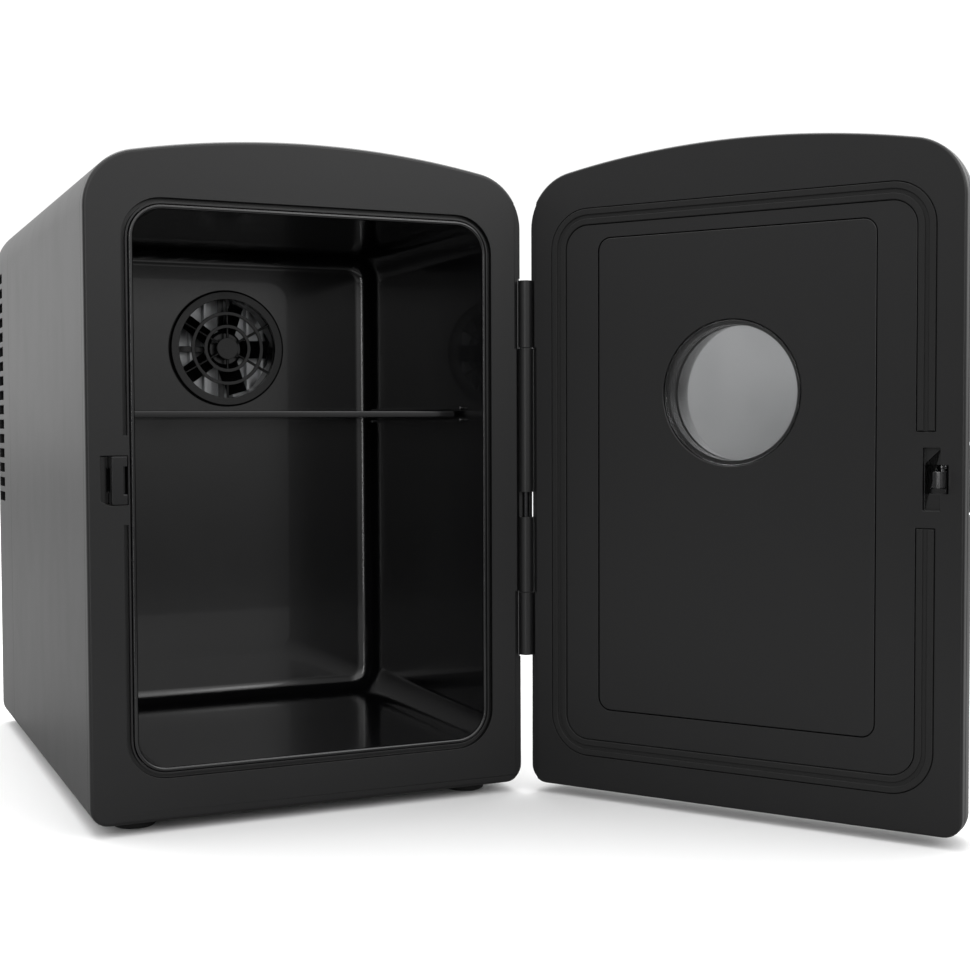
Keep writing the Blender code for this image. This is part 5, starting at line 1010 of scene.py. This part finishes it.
lever = from_part("latch_lever", "hook_lever", 0)
lever.data.transform(turn_shut())
lever.data.update()
root_x, root_y = -76.0 * MM, face_y - 6.6 * MM
carve(lever, post((root_x, root_y, latch_z - hook_half), (root_x, root_y, latch_z + hook_half),
                  2.4 * MM, 40), operation="UNION")
soften(lever, 0.25 * MM, 3)
# Painted highlight: the hook's base colour is a lighter grey than the other black trim, standing in
# for the bright glint on it.
POLISHED_HOOK_PAINTED_HIGHLIGHT = moulded_plastic("polished hook with painted highlight", (0.045, 0.045, 0.046), 0.17, 420.0, 0.003 * MM,
                                handling=0.3, specular=0.8, coat=0.8, coat_roughness=0.04)
on_door(lever, POLISHED_HOOK_PAINTED_HIGHLIGHT, "black_trim", "latch_lever", "latch_lever")
eased("latch_pin", "hook_pin", STEEL, "steel", 0.15 * MM, body="door")
eased("latch_spring", "hook_spring", STEEL, "steel", 0.0, body="door")

# ---- Studio -----------------------------------------------------------------------------
# A pale floor that runs off to white, a bright surround, and soft panels at the left, above
# and in front.
def studio_surround():
    """White to the camera; to the surfaces, bright behind at the left and dim low down."""
    world = bpy.data.worlds.new("studio")
    world.use_nodes = True
    tree = world.node_tree
    shade = tree.nodes["Background"]
    way = put(tree, "ShaderNodeTexCoord").outputs["Generated"]
    apart = put(tree, "ShaderNodeSeparateXYZ", {0: way})
    height = put(tree, "ShaderNodeMapRange", {"Value": apart.outputs["Z"], "From Min": -0.22,
                                              "From Max": 0.42, "To Min": 0.12, "To Max": 1.5},
                 interpolation_type="SMOOTHSTEP")
    leftward = put(tree, "ShaderNodeVectorMath", {0: way, 1: (-1.0, -0.1, 0.0)},
                   operation="DOT_PRODUCT")
    shaded = put(tree, "ShaderNodeMapRange", {"Value": leftward.outputs["Value"], "From Min": 0.45,
                                              "From Max": 0.95, "To Min": 1.0, "To Max": 0.55},
                 interpolation_type="SMOOTHSTEP")
    dimmed = put(tree, "ShaderNodeMath", {0: height.outputs[0], 1: shaded.outputs[0]},
                 operation="MULTIPLY")
    behind = put(tree, "ShaderNodeVectorMath", {0: way, 1: (-0.42, 0.91, 0.0)},
                 operation="DOT_PRODUCT")
    glow = put(tree, "ShaderNodeMapRange", {"Value": behind.outputs["Value"], "From Min": 0.35,
                                            "From Max": 0.85}, interpolation_type="SMOOTHSTEP")
    total = put(tree, "ShaderNodeMix", {0: glow.outputs[0], 2: dimmed.outputs[0], 3: 0.85})
    seen = put(tree, "ShaderNodeLightPath").outputs["Is Camera Ray"]
    strength = put(tree, "ShaderNodeMix", {0: seen, 2: total.outputs[0], 3: 1.05})
    tree.links.new(strength.outputs[0], shade.inputs["Strength"])
    shade.inputs["Color"].default_value = (1, 1, 1, 1)
    bpy.context.scene.world = world


def soft_panel(name, place, target, width, height, power):
    """A soft rectangular light that looks at a point."""
    data = bpy.data.lights.new(name, "AREA")
    data.shape = "RECTANGLE"
    data.size = width
    data.size_y = height
    data.energy = power
    lamp = bpy.data.objects.new(name, data)
    bpy.context.scene.collection.objects.link(lamp)
    lamp.location = place
    lamp.rotation_euler = (Vector(target) - Vector(place)).to_track_quat("-Z", "Y").to_euler()


def pale_floor():
    """A wide pale sweep under the object."""
    bpy.ops.object.select_all(action="DESELECT")
    bpy.ops.mesh.primitive_plane_add(size=9, location=(0, 4.05, -0.0002))
    floor = bpy.context.object
    floor.name = "studio_floor"
    material, tree, shader = new_finish("pale sweep", specular=0.1)
    place = put(tree, "ShaderNodeTexCoord").outputs["Object"]
    mottle = put(tree, "ShaderNodeTexNoise", {"Vector": place, "Scale": 3.0})
    pale = put(tree, "ShaderNodeMix", {0: mottle.outputs[0], 6: (0.91, 0.91, 0.91, 1),
                                       7: (0.94, 0.94, 0.94, 1)}, data_type="RGBA")
    seen = put(tree, "ShaderNodeLightPath").outputs["Is Camera Ray"]
    tone = put(tree, "ShaderNodeMix", {0: seen, 6: (0.30, 0.30, 0.30, 1), 7: pale.outputs[2]},
               data_type="RGBA")
    tree.links.new(tone.outputs[2], shader.inputs["Base Color"])
    shader.inputs["Roughness"].default_value = 0.8
    floor.data.materials.append(material)


studio_surround()
pale_floor()
soft_panel("rear_left_panel", (-1.5, 1.5, 0.8), (0, 0, 0.13), 1.2, 1.4, 6)
soft_panel("top_panel", (0.1, 0.5, 1.8), (0, 0.1, 0.1), 1.8, 1.4, 26)
soft_panel("near_strip", (-1.25, -1.7, 0.35), (0.1, -0.1, 0.13), 0.12, 1.3, 3.5)
soft_panel("front_panel", (1.0, -1.9, 1.3), (0, 0, 0.2), 1.0, 0.7, 5)

# ---- Camera -----------------------------------------------------------------------------
# It stands in front and to the left at half the cabinet's height, looking slightly down.
camera_data = bpy.data.cameras.new("view")
camera_data.lens = 56.09
camera_data.sensor_width = 36
camera = bpy.data.objects.new("view", camera_data)
bpy.context.scene.collection.objects.link(camera)
right = Vector((0.90821, -0.41849, -0.00374)).normalized()
away = Vector((0.41803, 0.90758, -0.03940)).normalized()
upward = right.cross(away).normalized()
camera.matrix_world = Matrix.Translation((-0.2449, -0.6137, 0.1516)) @ Matrix(
    (right, upward, -away)).transposed().to_4x4()
bpy.context.scene.camera = camera
bpy.context.scene.view_settings.view_transform = "Standard"
